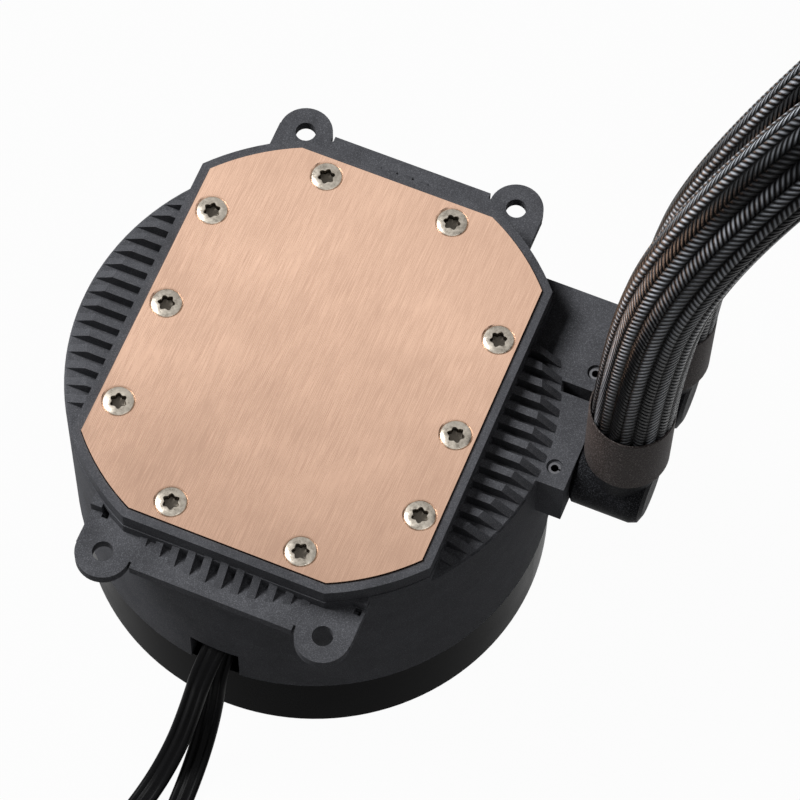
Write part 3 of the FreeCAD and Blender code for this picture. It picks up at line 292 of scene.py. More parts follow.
@dataclass(frozen=True)
class Brushed:
    """Brushed metal: long fine scratches along one axis, with darker and paler streaks and smudges.

    Attributes:
        name: Name of the material.
        colour: Colour of the pale streaks.
        dark: Colour of the dark streaks.
        along: Scale of each coordinate before the scratches are drawn, small along the scratches.
        roughness: Middle roughness.
        fine: Scale of the scratches.
        pit: Height of the surface in metres, under which a recess gets painted shade, or nought for none.
        painted_reflection_from: Place along Y in metres where a painted reflection, darker towards -Y,
            starts to give way, or nought for none.
        painted_reflection_reach: Distance over which it gives way, in metres.
        painted_reflection_wander: How far the smudges push its edge, in metres.
        painted_reflection_tone: Share of the dark colour at the painted reflection's darker end.
        broad_share: Scale of the wide streaks over that of the scratches.
        grit_share: Scale of the grit over that of the scratches.
        smudge: Scale of the smudges.
        weights: Shares of scratches, wide streaks, smudges and grit in the colour.
        streak_range: Stretch of their sum that runs from the dark to the pale colour.
        recess_shade_tone: Share of the dark colour in the painted shade of a recess.
        recess_shade_depths: Depths in metres at which the painted shade is full and at which it starts.
        gloss_spreads: How far scratches and smudges make the roughness stray.
        relief: Depth of the scratches in metres.
        relief_strength: Strength of their relief.
    """

    name: str
    colour: Colour
    dark: Colour
    along: Point = (1.0, 0.012, 1.0)
    roughness: float = 0.34
    fine: float = 5200.0
    pit: float = 0.0
    painted_reflection_from: float = 0.0
    painted_reflection_reach: float = 0.065
    painted_reflection_wander: float = 0.02
    painted_reflection_tone: float = 0.66
    broad_share: float = 0.12
    grit_share: float = 0.55
    smudge: float = 55.0
    weights: tuple[float, float, float, float] = (0.45, 0.1, 0.2, 0.25)
    streak_range: Range = (0.36, 0.64)
    recess_shade_tone: float = 0.3
    recess_shade_depths: Range = (0.0008, 0.0001)
    gloss_spreads: Range = (0.25, 0.12)
    relief: float = 0.00002
    relief_strength: float = 0.6

    def build(self) -> bpy.types.Material:
        """Make the material: the weighted sum of four noises blends the dark into the pale colour.

        Returns:
            The material.
        """
        shade = Shade(self.name)
        place = shade.place()
        drawn = shade.stretched(place, self.along)
        fine = shade.noise(drawn, self.fine, detail=4.0, rough=0.65)
        broad = shade.noise(drawn, self.fine * self.broad_share, detail=3.0, rough=0.6)
        smudge = shade.noise(place, self.smudge, detail=5.0, rough=0.6)
        grit = shade.noise(place, self.fine * self.grit_share, detail=3.0, rough=0.7)
        by_fine, by_broad, by_smudge, by_grit = self.weights
        streak = fine * by_fine + broad * by_broad + smudge * by_smudge + grit * by_grit
        colour = shade.blend(streak.span(*self.streak_range), self.dark, self.colour)
        # Painted reflection: the colour darkens towards -Y, where the plate's reflection grows dimmer.
        if self.painted_reflection_from:
            toward = shade.parts(place)[1] + smudge * self.painted_reflection_wander
            share = toward.span(self.painted_reflection_from, self.painted_reflection_from + self.painted_reflection_reach)
            colour = shade.blend(share, scaled(self.dark, self.painted_reflection_tone), colour)
        # Painted shade in a recess: the colour darkens below the surface's height.
        if self.pit:
            full, none = self.recess_shade_depths
            share = shade.parts(place)[2].span(self.pit - full, self.pit - none)
            colour = shade.blend(share, scaled(self.dark, self.recess_shade_tone), colour)
        fine_spread, smudge_spread = self.gloss_spreads
        middle = self.roughness - (fine_spread + smudge_spread) / 2
        shade.surface(
            Base_Color=colour,
            Metallic=1.0,
            Roughness=(fine * fine_spread + smudge * smudge_spread + middle).held(),
            Normal=shade.relief(fine, self.relief, self.relief_strength),
        )
        return shade.material


@dataclass(frozen=True)
class Moulded:
    """Charcoal glass filled moulding: dark and matt, with pale specks in a fine sandy grain.

    Attributes:
        name: Name of the material.
        colour: Colour of the pale clouds.
        speck: Colour of the specks.
        roughness: Middle roughness.
        grain: Scale of the sandy grain.
        index: Index of refraction.
        cloud: Scale of the clouds.
        cloud_tone: Share of the colour between the clouds.
        cloud_range: Stretch of the cloud noise that runs from that tone to the colour.
        speck_range: Stretch of the grain over which a speck comes up.
        speck_floor: Added to the clouds, so that specks show between them too.
        gloss_spreads: How far grain and clouds make the roughness stray.
        relief: Depth of the grain in metres.
        relief_strength: Strength of its relief.
    """

    name: str
    colour: Colour
    speck: Colour
    roughness: float = 0.62
    grain: float = 3800.0
    index: float = 1.15
    cloud: float = 130.0
    cloud_tone: float = 0.62
    cloud_range: Range = (0.3, 0.7)
    speck_range: Range = (0.5, 0.72)
    speck_floor: float = 0.35
    gloss_spreads: Range = (0.3, 0.2)
    relief: float = 0.00005
    relief_strength: float = 0.8

    def build(self) -> bpy.types.Material:
        """Make the material: clouds tone the base, and the high spots of the grain are specks.

        Returns:
            The material.
        """
        shade = Shade(self.name)
        place = shade.place()
        sand = shade.noise(place, self.grain, detail=2.0, rough=0.7)
        cloud = shade.noise(place, self.cloud, detail=4.0, rough=0.6)
        dark = scaled(self.colour, self.cloud_tone)
        base = shade.blend(cloud.span(*self.cloud_range), dark, self.colour)
        speck = (sand.span(*self.speck_range) * (cloud + self.speck_floor)).held()
        sand_spread, cloud_spread = self.gloss_spreads
        middle = self.roughness - (sand_spread + cloud_spread) / 2
        shade.surface(
            Base_Color=shade.blend(speck, base, self.speck),
            Roughness=(sand * sand_spread + cloud * cloud_spread + middle).held(),
            Normal=shade.relief(sand, self.relief, self.relief_strength),
            IOR=self.index,
        )
        return shade.material


@dataclass(frozen=True)
class Braid:
    """Braided sleeving. The yarns lie in columns along the hose and slant one way in one column and
    the other way in the next, which makes chevrons. The pale crests of the yarns are a painted
    highlight, stronger in some columns as a painted sheen. The mesh's own map counts columns across
    and yarn widths along.

    Attributes:
        name: Name of the material.
        colour: Colour of the yarns in their dips.
        painted_highlight: Colour of the painted highlight on the yarns' crests.
        slant: Yarn widths by which a yarn climbs across its column.
        depth: Depth of the weave in metres.
        index: Index of refraction.
        roughness: Roughness in the dips of an even patch.
        gloss_spreads: How far the patches raise the roughness, and the crests lower it.
        yarn_round: Power on the half wave across a yarn, lower for a flatter yarn.
        column_round: The same across a column.
        column_relief: Share of the height that a column's crown takes.
        filaments: Filaments side by side in a yarn.
        filament_relief: Height of a filament over that of a yarn.
        filament_tone: Share of the painted highlight that the filaments break up.
        crest_powers: Powers that narrow the painted highlight to the crests of the yarns and of the
            columns.
        strand_gap: Step in the noise from one column to the next.
        strand_stretch: Step in the noise for each yarn width along.
        painted_sheen_range: Stretch of that noise over which a column comes to its painted sheen.
        painted_sheen_share: Share of the painted highlight that a column without painted sheen lacks.
        patch: Scale of the patches.
        patch_floor: Painted highlight in the dullest patch.
    """

    name: str
    colour: Colour
    painted_highlight: Colour
    slant: float = 1.7
    depth: float = 0.0005
    index: float = 1.1
    roughness: float = 0.24
    gloss_spreads: Range = (0.15, 0.1)
    yarn_round: float = 0.6
    column_round: float = 0.45
    column_relief: float = 0.75
    filaments: float = 5.0
    filament_relief: float = 0.05
    filament_tone: float = 0.3
    crest_powers: Range = (6.0, 4.0)
    strand_gap: float = 3.7
    strand_stretch: float = 0.02
    painted_sheen_range: Range = (0.4, 0.62)
    painted_sheen_share: float = 0.95
    patch: float = 160.0
    patch_floor: float = 0.4

    def build(self) -> bpy.types.Material:
        """Make the material: half waves across the yarns and columns give the height and the painted
        highlight.

        Returns:
            The material.
        """
        shade = Shade(self.name)
        across, along, _height = shade.parts(shade.node("ShaderNodeUVMap", {}, {}))
        inside, number = across.math("FRACT"), across.math("FLOOR")
        way = number.math("FLOORED_MODULO", 2.0) * 2.0 - 1.0
        shift = along + (inside - 0.5) * way * self.slant
        yarn = shift.arch() ** self.yarn_round
        column = (inside * math.pi).math("SINE") ** self.column_round
        height = yarn * (column * self.column_relief + (1.0 - self.column_relief))
        filament = (shift * self.filaments).arch()
        patch = shade.noise(shade.place(), self.patch, detail=3.0)
        # Painted highlight: the base colour turns pale on the crests of the yarns, more in some columns as
        # a painted sheen and less in dull patches.
        steps = {0: number * self.strand_gap, 1: along * self.strand_stretch}
        strand = shade.node("ShaderNodeCombineXYZ", {}, steps)
        painted_sheen = shade.noise(strand, 1.0, detail=0.0).span(*self.painted_sheen_range)
        yarn_power, column_power = self.crest_powers
        broken = filament * self.filament_tone + (1.0 - self.filament_tone)
        crest = (yarn ** yarn_power) * (column ** column_power) * broken
        lit = painted_sheen * self.painted_sheen_share + (1.0 - self.painted_sheen_share)
        tone = (crest * lit * (patch + self.patch_floor)).held()
        patch_spread, crest_spread = self.gloss_spreads
        shade.surface(
            Base_Color=shade.blend(tone, self.colour, self.painted_highlight),
            Roughness=(patch * patch_spread - height * crest_spread + self.roughness).held(),
            Normal=shade.relief(height + filament * self.filament_relief, self.depth),
            IOR=self.index,
        )
        return shade.material


# The copper's colour darkens towards -Y as a painted reflection.
COPPER = Brushed(
    "brushed_copper", (0.77, 0.515, 0.38), (0.60, 0.38, 0.275), along=(1.0, 0.03, 1.0), roughness=0.27,
    fine=6500.0, painted_reflection_from=-0.042,
)
# The screws' recesses get painted shade.
NICKEL = Brushed(
    "nickel_screw", (0.55, 0.50, 0.43), (0.2, 0.175, 0.145), along=(1.0, 1.0, 1.0), roughness=0.3,
    fine=1500.0, pit=SCREW_TOP * MM,
)
BODY = Moulded("charcoal_moulding", (0.098, 0.1, 0.11), (0.22, 0.225, 0.245), grain=7000.0, index=1.06)
ELBOW = Moulded(
    "elbow_moulding", (0.012, 0.0125, 0.014), (0.1, 0.103, 0.115), roughness=0.45, grain=5200.0,
    index=1.08,
)
SLEEVE = Moulded(
    "sleeve_skin", (0.07, 0.058, 0.055), (0.3, 0.27, 0.26), roughness=0.5, grain=4200.0, index=1.1,
)
# The braid's pale crests are a painted highlight.
BRAID = Braid("hose_braid", (0.0012, 0.0012, 0.0014), (0.8, 0.84, 0.92))
CAP = Plain(
    "gloss_cap", (0.0025, 0.0025, 0.003), roughness=0.22, mottle=0.2, grain=900.0, relief=0.000002,
    index=1.03,
)
STEEL = Plain("steel_wire", (0.35, 0.35, 0.36), roughness=0.35, metallic=1.0, mottle=0.3)
OXIDE = Plain("blackened_steel", (0.16, 0.16, 0.17), roughness=0.3, metallic=1.0, mottle=0.3)
WIRE = Plain(
    "wire_skin", (0.006, 0.006, 0.0065), roughness=0.36, mottle=0.3, grain=2500.0, index=1.12,
)
RUBBER = Plain("seal_rubber", (0.01, 0.01, 0.01), roughness=0.6, index=1.2)
NYLON = Plain("plug_nylon", (0.014, 0.014, 0.015), roughness=0.45, index=1.4)
MILKY = Plain("milky_moulding", (0.75, 0.75, 0.72), mottle=0.05)
LAMP = Plain("lamp_face", (0.85, 0.78, 0.5), roughness=0.3, mottle=0.1)
MASK = Plain("solder_mask", (0.01, 0.06, 0.025), roughness=0.35, mottle=0.3, grain=1200.0)
INNER = Plain("inner_moulding", (0.06, 0.06, 0.065))
PALE = Plain("pale_moulding", (0.6, 0.6, 0.57), roughness=0.45, mottle=0.08)
MAGNET = Plain("sintered_magnet", (0.06, 0.06, 0.065), roughness=0.4, metallic=0.8)
SHEETS = Plain("steel_lamination", (0.3, 0.3, 0.31), roughness=0.4, metallic=1.0)
ENAMEL = Plain(
    "enamelled_wire", (0.42, 0.16, 0.05), roughness=0.3, metallic=0.9, mottle=0.3, grain=2600.0,
    relief=0.00008,
)
PAINT = Plain(
    "black_paint", (0.016, 0.016, 0.017), roughness=0.42, grain=2600.0, relief=0.00003, index=1.42,
)
FIN_PAINT = Plain(
    "fin_paint", (0.075, 0.076, 0.08), roughness=0.38, metallic=0.6, mottle=0.2, grain=2600.0,
    relief=0.00001, index=1.42,
)
FAN_SKIN = Plain("fan_moulding", (0.018, 0.018, 0.019), grain=2200.0, relief=0.00003, index=1.4)

NODE_FINISH = {
    "top_cover": CAP,
    "light_diffuser": MILKY,
    "light_chips": LAMP,
    "circuit_board": MASK,
    "board_screws": STEEL,
    "pump_body": BODY,
    "cold_plate": COPPER,
    "plate_screws": NICKEL,
    "plate_gasket": RUBBER,
    "flow_plate": PALE,
    "impeller": PALE,
    "impeller_bush": INNER,
    "rotor_magnet": MAGNET,
    "pump_shaft": STEEL,
    "rotor_can": INNER,
    "can_seal": RUBBER,
    "can_screws": STEEL,
    "stator_core": SHEETS,
    "stator_coils": ENAMEL,
    "front_elbow": ELBOW,
    "rear_elbow": ELBOW,
    "front_elbow_seal": RUBBER,
    "rear_elbow_seal": RUBBER,
    "elbow_pins": OXIDE,
    "front_sleeve": SLEEVE,
    "rear_sleeve": SLEEVE,
    "front_hose": BRAID,
    "rear_hose": BRAID,
    "pump_lead": WIRE,
    "light_lead": WIRE,
    "pump_lead_coil": WIRE,
    "light_lead_coil": WIRE,
    "pump_lead_plug": NYLON,
    "light_lead_plug": NYLON,
    "port_tank": PAINT,
    "return_tank": PAINT,
    "radiator_tubes": PAINT,
    "radiator_fins": FIN_PAINT,
    "left_rail": PAINT,
    "right_rail": PAINT,
    "radiator_sleeves": SLEEVE,
    "fan_frame": FAN_SKIN,
    "fan_rotor": FAN_SKIN,
    "fan_magnet": MAGNET,
    "fan_stator": SHEETS,
    "fan_coils": ENAMEL,
    "fan_screws": STEEL,
}


class Finishes:
    """Builds each finish once, the first time that it is asked for."""

    def __init__(self) -> None:
        """Start with none built."""
        self.built: dict[str, bpy.types.Material] = {}

    def of(self, finish: Any) -> bpy.types.Material:
        """The material of a finish.

        Args:
            finish: One of the finishes above.

        Returns:
            Its material, which every piece of that finish shares.
        """
        if finish.name not in self.built:
            self.built[finish.name] = finish.build()
        return self.built[finish.name]

    def dress(self, nodes: dict[str, bpy.types.Object]) -> None:
        """Give every CAD node its finish.

        Args:
            nodes: The CAD nodes by name.
        """
        for name, node in nodes.items():
            material = self.of(NODE_FINISH[name])
            for slot in node.material_slots:
                slot.material = material
            if not node.material_slots:
                node.data.materials.append(material)
            LOG.info("node %s in %s", name, material.name)


# Meshes


@dataclass
class Shell:
    """Points, faces and the faces' map, all as arrays.

    Attributes:
        points: Rows of three numbers, in metres.
        faces: Arrays of corner numbers, each with one number of corners.
        maps: For each array of faces, two numbers for each corner.
    """

    points: np.ndarray
    faces: list[np.ndarray]
    maps: list[np.ndarray] = field(default_factory=list)

    def volume(self) -> float:
        """Sum over fans of triangles of the pyramid that each spans with the origin.

        Returns:
            The volume, positive where the faces point outwards.
        """
        total = 0.0
        for quad in self.faces:
            p = self.points[quad]
            for k in range(1, quad.shape[1] - 1):
                total += float(np.einsum("ij,ij->", p[:, 0], np.cross(p[:, k], p[:, k + 1])))
        return total / 6.0

    def outward(self) -> "Shell":
        """Turn the faces over where the volume is negative.

        Returns:
            The same closed shell with its faces pointing outwards.
        """
        if self.volume() >= 0.0:
            return self
        maps = [m[:, ::-1] for m in self.maps]
        return Shell(self.points, [f[:, ::-1] for f in self.faces], maps)

    @staticmethod
    def joined(shells: Sequence["Shell"]) -> "Shell":
        """Put several shells into one.

        Args:
            shells: The shells, of which all or none have maps.

        Returns:
            One shell of all their points and faces.
        """
        counts = np.cumsum([0] + [len(s.points) for s in shells])
        faces = [f + n for s, n in zip(shells, counts) for f in s.faces]
        maps = [m for s in shells for m in s.maps]
        return Shell(np.concatenate([s.points for s in shells]), faces, maps)

    def piece(self, name: str, finish: bpy.types.Material) -> bpy.types.Object:
        """Put the shell into an object at the origin.

        Args:
            name: Name of the object.
            finish: Material of the whole piece.

        Returns:
            The object, linked to the scene.
        """
        mesh = bpy.data.meshes.new(name)
        sides = np.concatenate([np.full(len(f), f.shape[1]) for f in self.faces])
        corners = np.concatenate([f.ravel() for f in self.faces]).astype(np.int32)
        starts = np.concatenate([[0], np.cumsum(sides)[:-1]]).astype(np.int32)
        mesh.vertices.add(len(self.points))
        mesh.vertices.foreach_set("co", self.points.astype(np.float32).ravel())
        mesh.loops.add(len(corners))
        mesh.loops.foreach_set("vertex_index", corners)
        mesh.polygons.add(len(sides))
        mesh.polygons.foreach_set("loop_start", starts)
        mesh.update(calc_edges=True)
        mesh.polygons.foreach_set("use_smooth", np.ones(len(sides), bool))
        mesh.set_sharp_from_angle(angle=SHARP_ANGLE)
        if self.maps:
            flat = np.concatenate([m.reshape(-1, 2) for m in self.maps]).astype(np.float32)
            mesh.uv_layers.new(name="UVMap").data.foreach_set("uv", flat.ravel())
        mesh.materials.append(finish)
        thing = bpy.data.objects.new(name, mesh)
        bpy.context.scene.collection.objects.link(thing)
        LOG.info("piece %s: %d points, %d faces", name, len(self.points), len(sides))
        return thing


def grid_faces(rows: int, columns: int) -> tuple[np.ndarray, np.ndarray]:
    """Quads of a tube of points, row by row, each row closed on itself.

    Args:
        rows: Rows of points.
        columns: Points in a row.

    Returns:
        Four corner numbers for each quad, and each corner's column and row.
    """
    r, c = np.meshgrid(np.arange(rows - 1), np.arange(columns), indexing="ij")
    r, c = r.ravel(), c.ravel()
    nxt = (c + 1) % columns
    row, above = r * columns, (r + 1) * columns
    quads = np.stack([row + c, row + nxt, above + nxt, above + c], 1)
    u = np.stack([c, c + 1, c + 1, c], 1)
    v = np.stack([r, r, r + 1, r + 1], 1)
    return quads, np.stack([u, v], 2).astype(float)


def unit(vectors: np.ndarray) -> np.ndarray:
    """Vectors of length one."""
    return vectors / np.linalg.norm(vectors, axis=-1, keepdims=True)


def line_length(line: np.ndarray) -> float:
    """Length of a line of points."""
    return float(np.linalg.norm(np.diff(line, axis=0), axis=1).sum())


def route_line(route: Sequence[Point], step: float) -> np.ndarray:
    """Evenly spaced points on the NURBS line of a route.

    Args:
        route: Control points in millimetres.
        step: Distance between the points, in millimetres.

    Returns:
        Points in metres, one in each row.
    """
    curve = bpy.data.curves.new("route", "CURVE")
    curve.dimensions = "3D"
    curve.resolution_u = ROUTE_SAMPLES
    spline = curve.splines.new("NURBS")
    spline.points.add(len(route) - 1)
    corners = np.hstack([np.array(route) * MM, np.ones((len(route), 1))])
    spline.points.foreach_set("co", corners.ravel())
    spline.order_u = 3
    spline.use_endpoint_u = True
    holder = bpy.data.objects.new("route", curve)
    mesh = bpy.data.meshes.new_from_object(holder)
    raw = np.empty(len(mesh.vertices) * 3, np.float32)
    mesh.vertices.foreach_get("co", raw)
    line = raw.reshape(-1, 3).astype(float)
    bpy.data.objects.remove(holder)
    bpy.data.curves.remove(curve)
    bpy.data.meshes.remove(mesh)
    far = np.concatenate([[0.0], np.cumsum(np.linalg.norm(np.diff(line, axis=0), axis=1))])
    count = max(FEWEST_POINTS, round(far[-1] / (step * MM)) + 1)
    even = np.linspace(0.0, far[-1], count)
    return np.stack([np.interp(even, far, line[:, k]) for k in range(3)], axis=1)


def carried(line: np.ndarray, outline: np.ndarray, steady: Point) -> Shell:
    """A closed outline carried along a line, with a cap at each end.

    Each point is the line's point plus the outline's two numbers times the two directions across.

    The outline's first axis lies across the line and square to the steady direction, and its second
    axis completes the frame, so the section doesn't roll while the line turns. The map counts the
    outline's points across and the line's points along.

    Args:
        line: Points of the line, in metres.
        outline: Points of the section, as rows of two numbers, in metres.
        steady: A direction that the line never takes.

    Returns:
        The closed shell.
    """
    ahead = unit(np.gradient(line, axis=0))
    across = unit(np.cross(ahead, np.array(steady)))
    up = np.cross(across, ahead)
    points = (line[:, None, :] + across[:, None, :] * outline[None, :, :1]
              + up[:, None, :] * outline[None, :, 1:])
    rows, columns = points.shape[:2]
    quads, counts = grid_faces(rows, columns)
    first = np.arange(columns)[None, ::-1]
    last = np.arange(columns)[None, :] + (rows - 1) * columns
    caps = [np.zeros((1, columns, 2)), np.zeros((1, columns, 2))]
    return Shell(points.reshape(-1, 3), [quads, first, last], [counts] + caps).outward()


def turned(rings: Sequence[tuple[float, float, float]], sides: int, lobes: int, place: Point,
           twist: float) -> Shell:
    """Rings stacked on an upright axis, each of radius (mean + swing cos(lobes angle)) at its height.

    Args:
        rings: Mean radius, swing and height of each ring, in millimetres; the first and last are poles.
        sides: Points round a ring.
        lobes: Waves round a ring.
        place: Where the axis stands, in millimetres.
        twist: Turn of the waves, in radians.

    Returns:
        The closed shell.
    """
    mean, swing, height = np.array(rings[1:-1]).T
    angle = np.linspace(0.0, TURN, sides, endpoint=False)
    radius = mean[:, None] + swing[:, None] * np.cos(lobes * angle)[None, :]
    z = np.repeat(height[:, None], sides, axis=1)
    ring_points = np.stack([radius * np.cos(angle + twist), radius * np.sin(angle + twist), z], axis=-1)
    poles = np.array([[0.0, 0.0, rings[0][2]], [0.0, 0.0, rings[-1][2]]])
    points = (np.concatenate([ring_points.reshape(-1, 3), poles]) + np.array(place)) * MM
    quads, _counts = grid_faces(len(mean), sides)
    here = np.arange(sides)
    after = (here + 1) % sides
    low, high = len(mean) * sides, len(mean) * sides + 1
    top = (len(mean) - 1) * sides
    first = np.stack([np.full(sides, low), after, here], axis=1)
    last = np.stack([np.full(sides, high), here + top, after + top], axis=1)
    return Shell(points, [quads, first, last]).outward()


def wires_outline(centres: Sequence[float], radius: float, points: int) -> np.ndarray:
    """Outline of wires side by side: above each place across, the top of the highest circle there.

    Args:
        centres: Places of the wires across the band, in millimetres.
        radius: Radius of a wire, in millimetres.
        points: Points of the upper half.

    Returns:
        Points of the closed outline, in metres.
    """
    edge = max(centres) + radius
    x = -edge * np.cos(np.linspace(0.0, math.pi, points))
    reach = radius ** 2 - (x[:, None] - np.array(centres)[None, :]) ** 2
    y = np.sqrt(np.clip(reach, 0.0, None).max(axis=1))
    upper = np.stack([x, y], axis=1)
    lower = np.stack([x, -y], axis=1)[1:-1][::-1]
    return np.concatenate([upper, lower]) * MM


# The cooler's own pieces


@dataclass
class Hose:
    """A braided hose from a swivel elbow to the radiator. Lengths are in millimetres.

    Attributes:
        name: Name of the piece.
        node: CAD node that it stands for.
        swivel: Body of its elbow; not used.
        route: Control points of its line.
        radius: Radius over the braid.
        columns: Columns of yarns round the hose.
        yarn: Width of a yarn along the hose.
        crown: How far a column's middle stands above its edges.
        crown_round: Power on the half wave across a column, lower for a flatter crown.
        column_points: Points of the section in each column.
        step: Distance between sections.
        steady: Direction across the line that the sections keep.
        bend_start: Height at which the hose starts to let go of its elbow; not used.
        bend_reach: Way from there to where it has let go; not used.
    """

    name: str
    node: str
    swivel: Body
    route: tuple[Point, ...]
    radius: float = 6.55
    columns: int = 20
    yarn: float = 1.1
    crown: float = 0.2
    crown_round: float = 0.5
    column_points: int = 5
    step: float = 0.85
    steady: Point = (0.8, -0.6, 0.0)
    bend_start: float = 72.0
    bend_reach: Point = (45.0, 15.0, 42.0)

    def outline(self) -> np.ndarray:
        """A circle whose radius drops by the crown between columns, as a rounded half sine.

        Returns:
            Points of the section in metres, as rows of two numbers.
        """
        count = self.columns * self.column_points
        at = np.arange(count) / count
        crown = np.sin(np.pi * ((at * self.columns) % 1.0)) ** self.crown_round - 1.0
        radius = (self.radius + self.crown * crown) * MM
        return np.stack([radius * np.cos(TURN * at), radius * np.sin(TURN * at)], axis=1)

    def build(self, finish: bpy.types.Material) -> bpy.types.Object:
        """Args:
            finish: The braid.

        Returns:
            The hose.
        """
        line = route_line(self.route, self.step)
        shell = carried(line, self.outline(), self.steady)
        length = line_length(line)
        scale = np.array([1.0 / self.column_points, length / (len(line) - 1) / (self.yarn * MM)])
        shell.maps = [m * scale for m in shell.maps]
        piece = shell.piece(self.name, finish)
        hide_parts(self.node)
        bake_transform(piece)
        return piece


@dataclass
class Lead:
    """A flat lead of three wires, with its coil and the coil's tie, running on towards the plug. Lengths
    in millimetres.

    Attributes:
        name: Name of the piece.
        nodes: CAD nodes that it stands for.
        plug: CAD node of its plug; not used.
        route: Control points from the head to the coil.
        centre: Middle of the coil.
        start: Angle at which the lead runs into the coil, in degrees.
        way: Which way the coil is wound.
        tail: Control points from the coil to the plug.
        tie_angle: Angle of the tie round the coil, in degrees.
        turns: Turns of the coil.
        turn_points: Control points in a turn.
        coil_radius: Radius of the coil.
        rise: How far a turn lies above the one before.
        floor: Height of the lead's middle where it lies on the floor.
        wires: Places of the wires across the lead.
        wire: Radius of a wire.
        wire_points: Points of the upper half of the section.
        step: Distance between sections.
        tie_half_width: Half the tie's width across the coil.
        tie_slack: Room between the coil and the tie, above and below.
        tie_squareness: Power of the tie's oval, two for a circle and more for a squarer one.
        tie_points: Points of the line round the coil.
        tie_inset: How far the tie's middle lies inside the coil's line.
        tie_clearance: Height of the tie above the floor.
        band: Half the thickness of the tie's strip.
        band_places: Places across the strip that round its edges.
        band_points: Points of the upper half of its section.
    """

    name: str
    nodes: tuple[str, ...]
    plug: str
    route: tuple[Point, ...]
    centre: Range
    start: float
    way: Way
    tail: tuple[Point, ...]
    tie_angle: float
    turns: int = 2
    turn_points: int = 16
    coil_radius: float = 21.4
    rise: float = 1.55
    floor: float = 0.72
    wires: tuple[float, ...] = (-1.3, 0.0, 1.3)
    wire: float = 0.7
    wire_points: int = 25
    step: float = 0.9
    tie_half_width: float = 2.5
    tie_slack: float = 0.05
    tie_squareness: float = 8.0
    tie_points: int = 73
    tie_inset: float = 0.4
    tie_clearance: float = 0.02
    band: float = 0.25
    band_places: tuple[float, ...] = (-0.9, -0.6, -0.3, 0.0, 0.3, 0.6, 0.9)
    band_points: int = 15

    def coil(self) -> list[Point]:
        """Place the coil's points at even angles on a circle, rising evenly from turn to turn.

        Returns:
            Control points of the coil.
        """
        count = self.turns * self.turn_points
        share = np.arange(1, count + 1) / self.turn_points
        angle = math.radians(self.start) + self.way.value * TURN * share
        x = self.centre[0] + self.coil_radius * np.cos(angle)
        y = self.centre[1] + self.coil_radius * np.sin(angle)
        return [tuple(p) for p in np.stack([x, y, self.floor + self.rise * share], axis=1).tolist()]

    def build(self, finishes: Finishes) -> bpy.types.Object:
        """Args:
            finishes: The finishes of the cooler.

        Returns:
            The lead.
        """
        line = route_line([*self.route, *self.coil(), *self.tail], self.step)
        outline = wires_outline(self.wires, self.wire, self.wire_points)
        piece = carried(line, outline, (0.0, 0.0, 1.0)).piece(self.name, finishes.of(WIRE))
        tie = self.tie(finishes.of(RUBBER))
        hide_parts(*self.nodes)
        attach(piece, Body.COOLER.value)
        return piece

    def tie(self, finish: bpy.types.Material) -> bpy.types.Object:
        """A band round the coil: a flat strip carried round an oval.

        The oval is a circle whose sine and cosine are each raised to two over the squareness, which
        makes it a rounded rectangle.

        Args:
            finish: Rubber of the band.

        Returns:
            The band.
        """
        height = self.floor * 2 + self.rise * self.turns
        half = np.array([self.tie_half_width, height / 2 + self.tie_slack])
        angle = np.linspace(0.0, TURN, self.tie_points)
        wave = np.stack([np.cos(angle), np.sin(angle)], axis=1)
        oval = np.sign(wave) * np.abs(wave) ** (2.0 / self.tie_squareness) * half
        at = math.radians(self.tie_angle)
        out = np.array([math.cos(at), math.sin(at), 0.0])
        foot = np.array([*self.centre, half[1] + self.band + self.tie_clearance])
        middle = foot + out * (self.coil_radius - self.tie_inset)
        line = middle + oval[:, :1] * out + oval[:, 1:] * np.array([0.0, 0.0, 1.0])
        strip = wires_outline(self.band_places, self.band, self.band_points)
        side = (-out[1], out[0], 0.0)
        band = carried(line * MM, strip[:, ::-1], side).piece(self.name + "_tie", finish)
        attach(band, Body.COOLER.value)
        return band


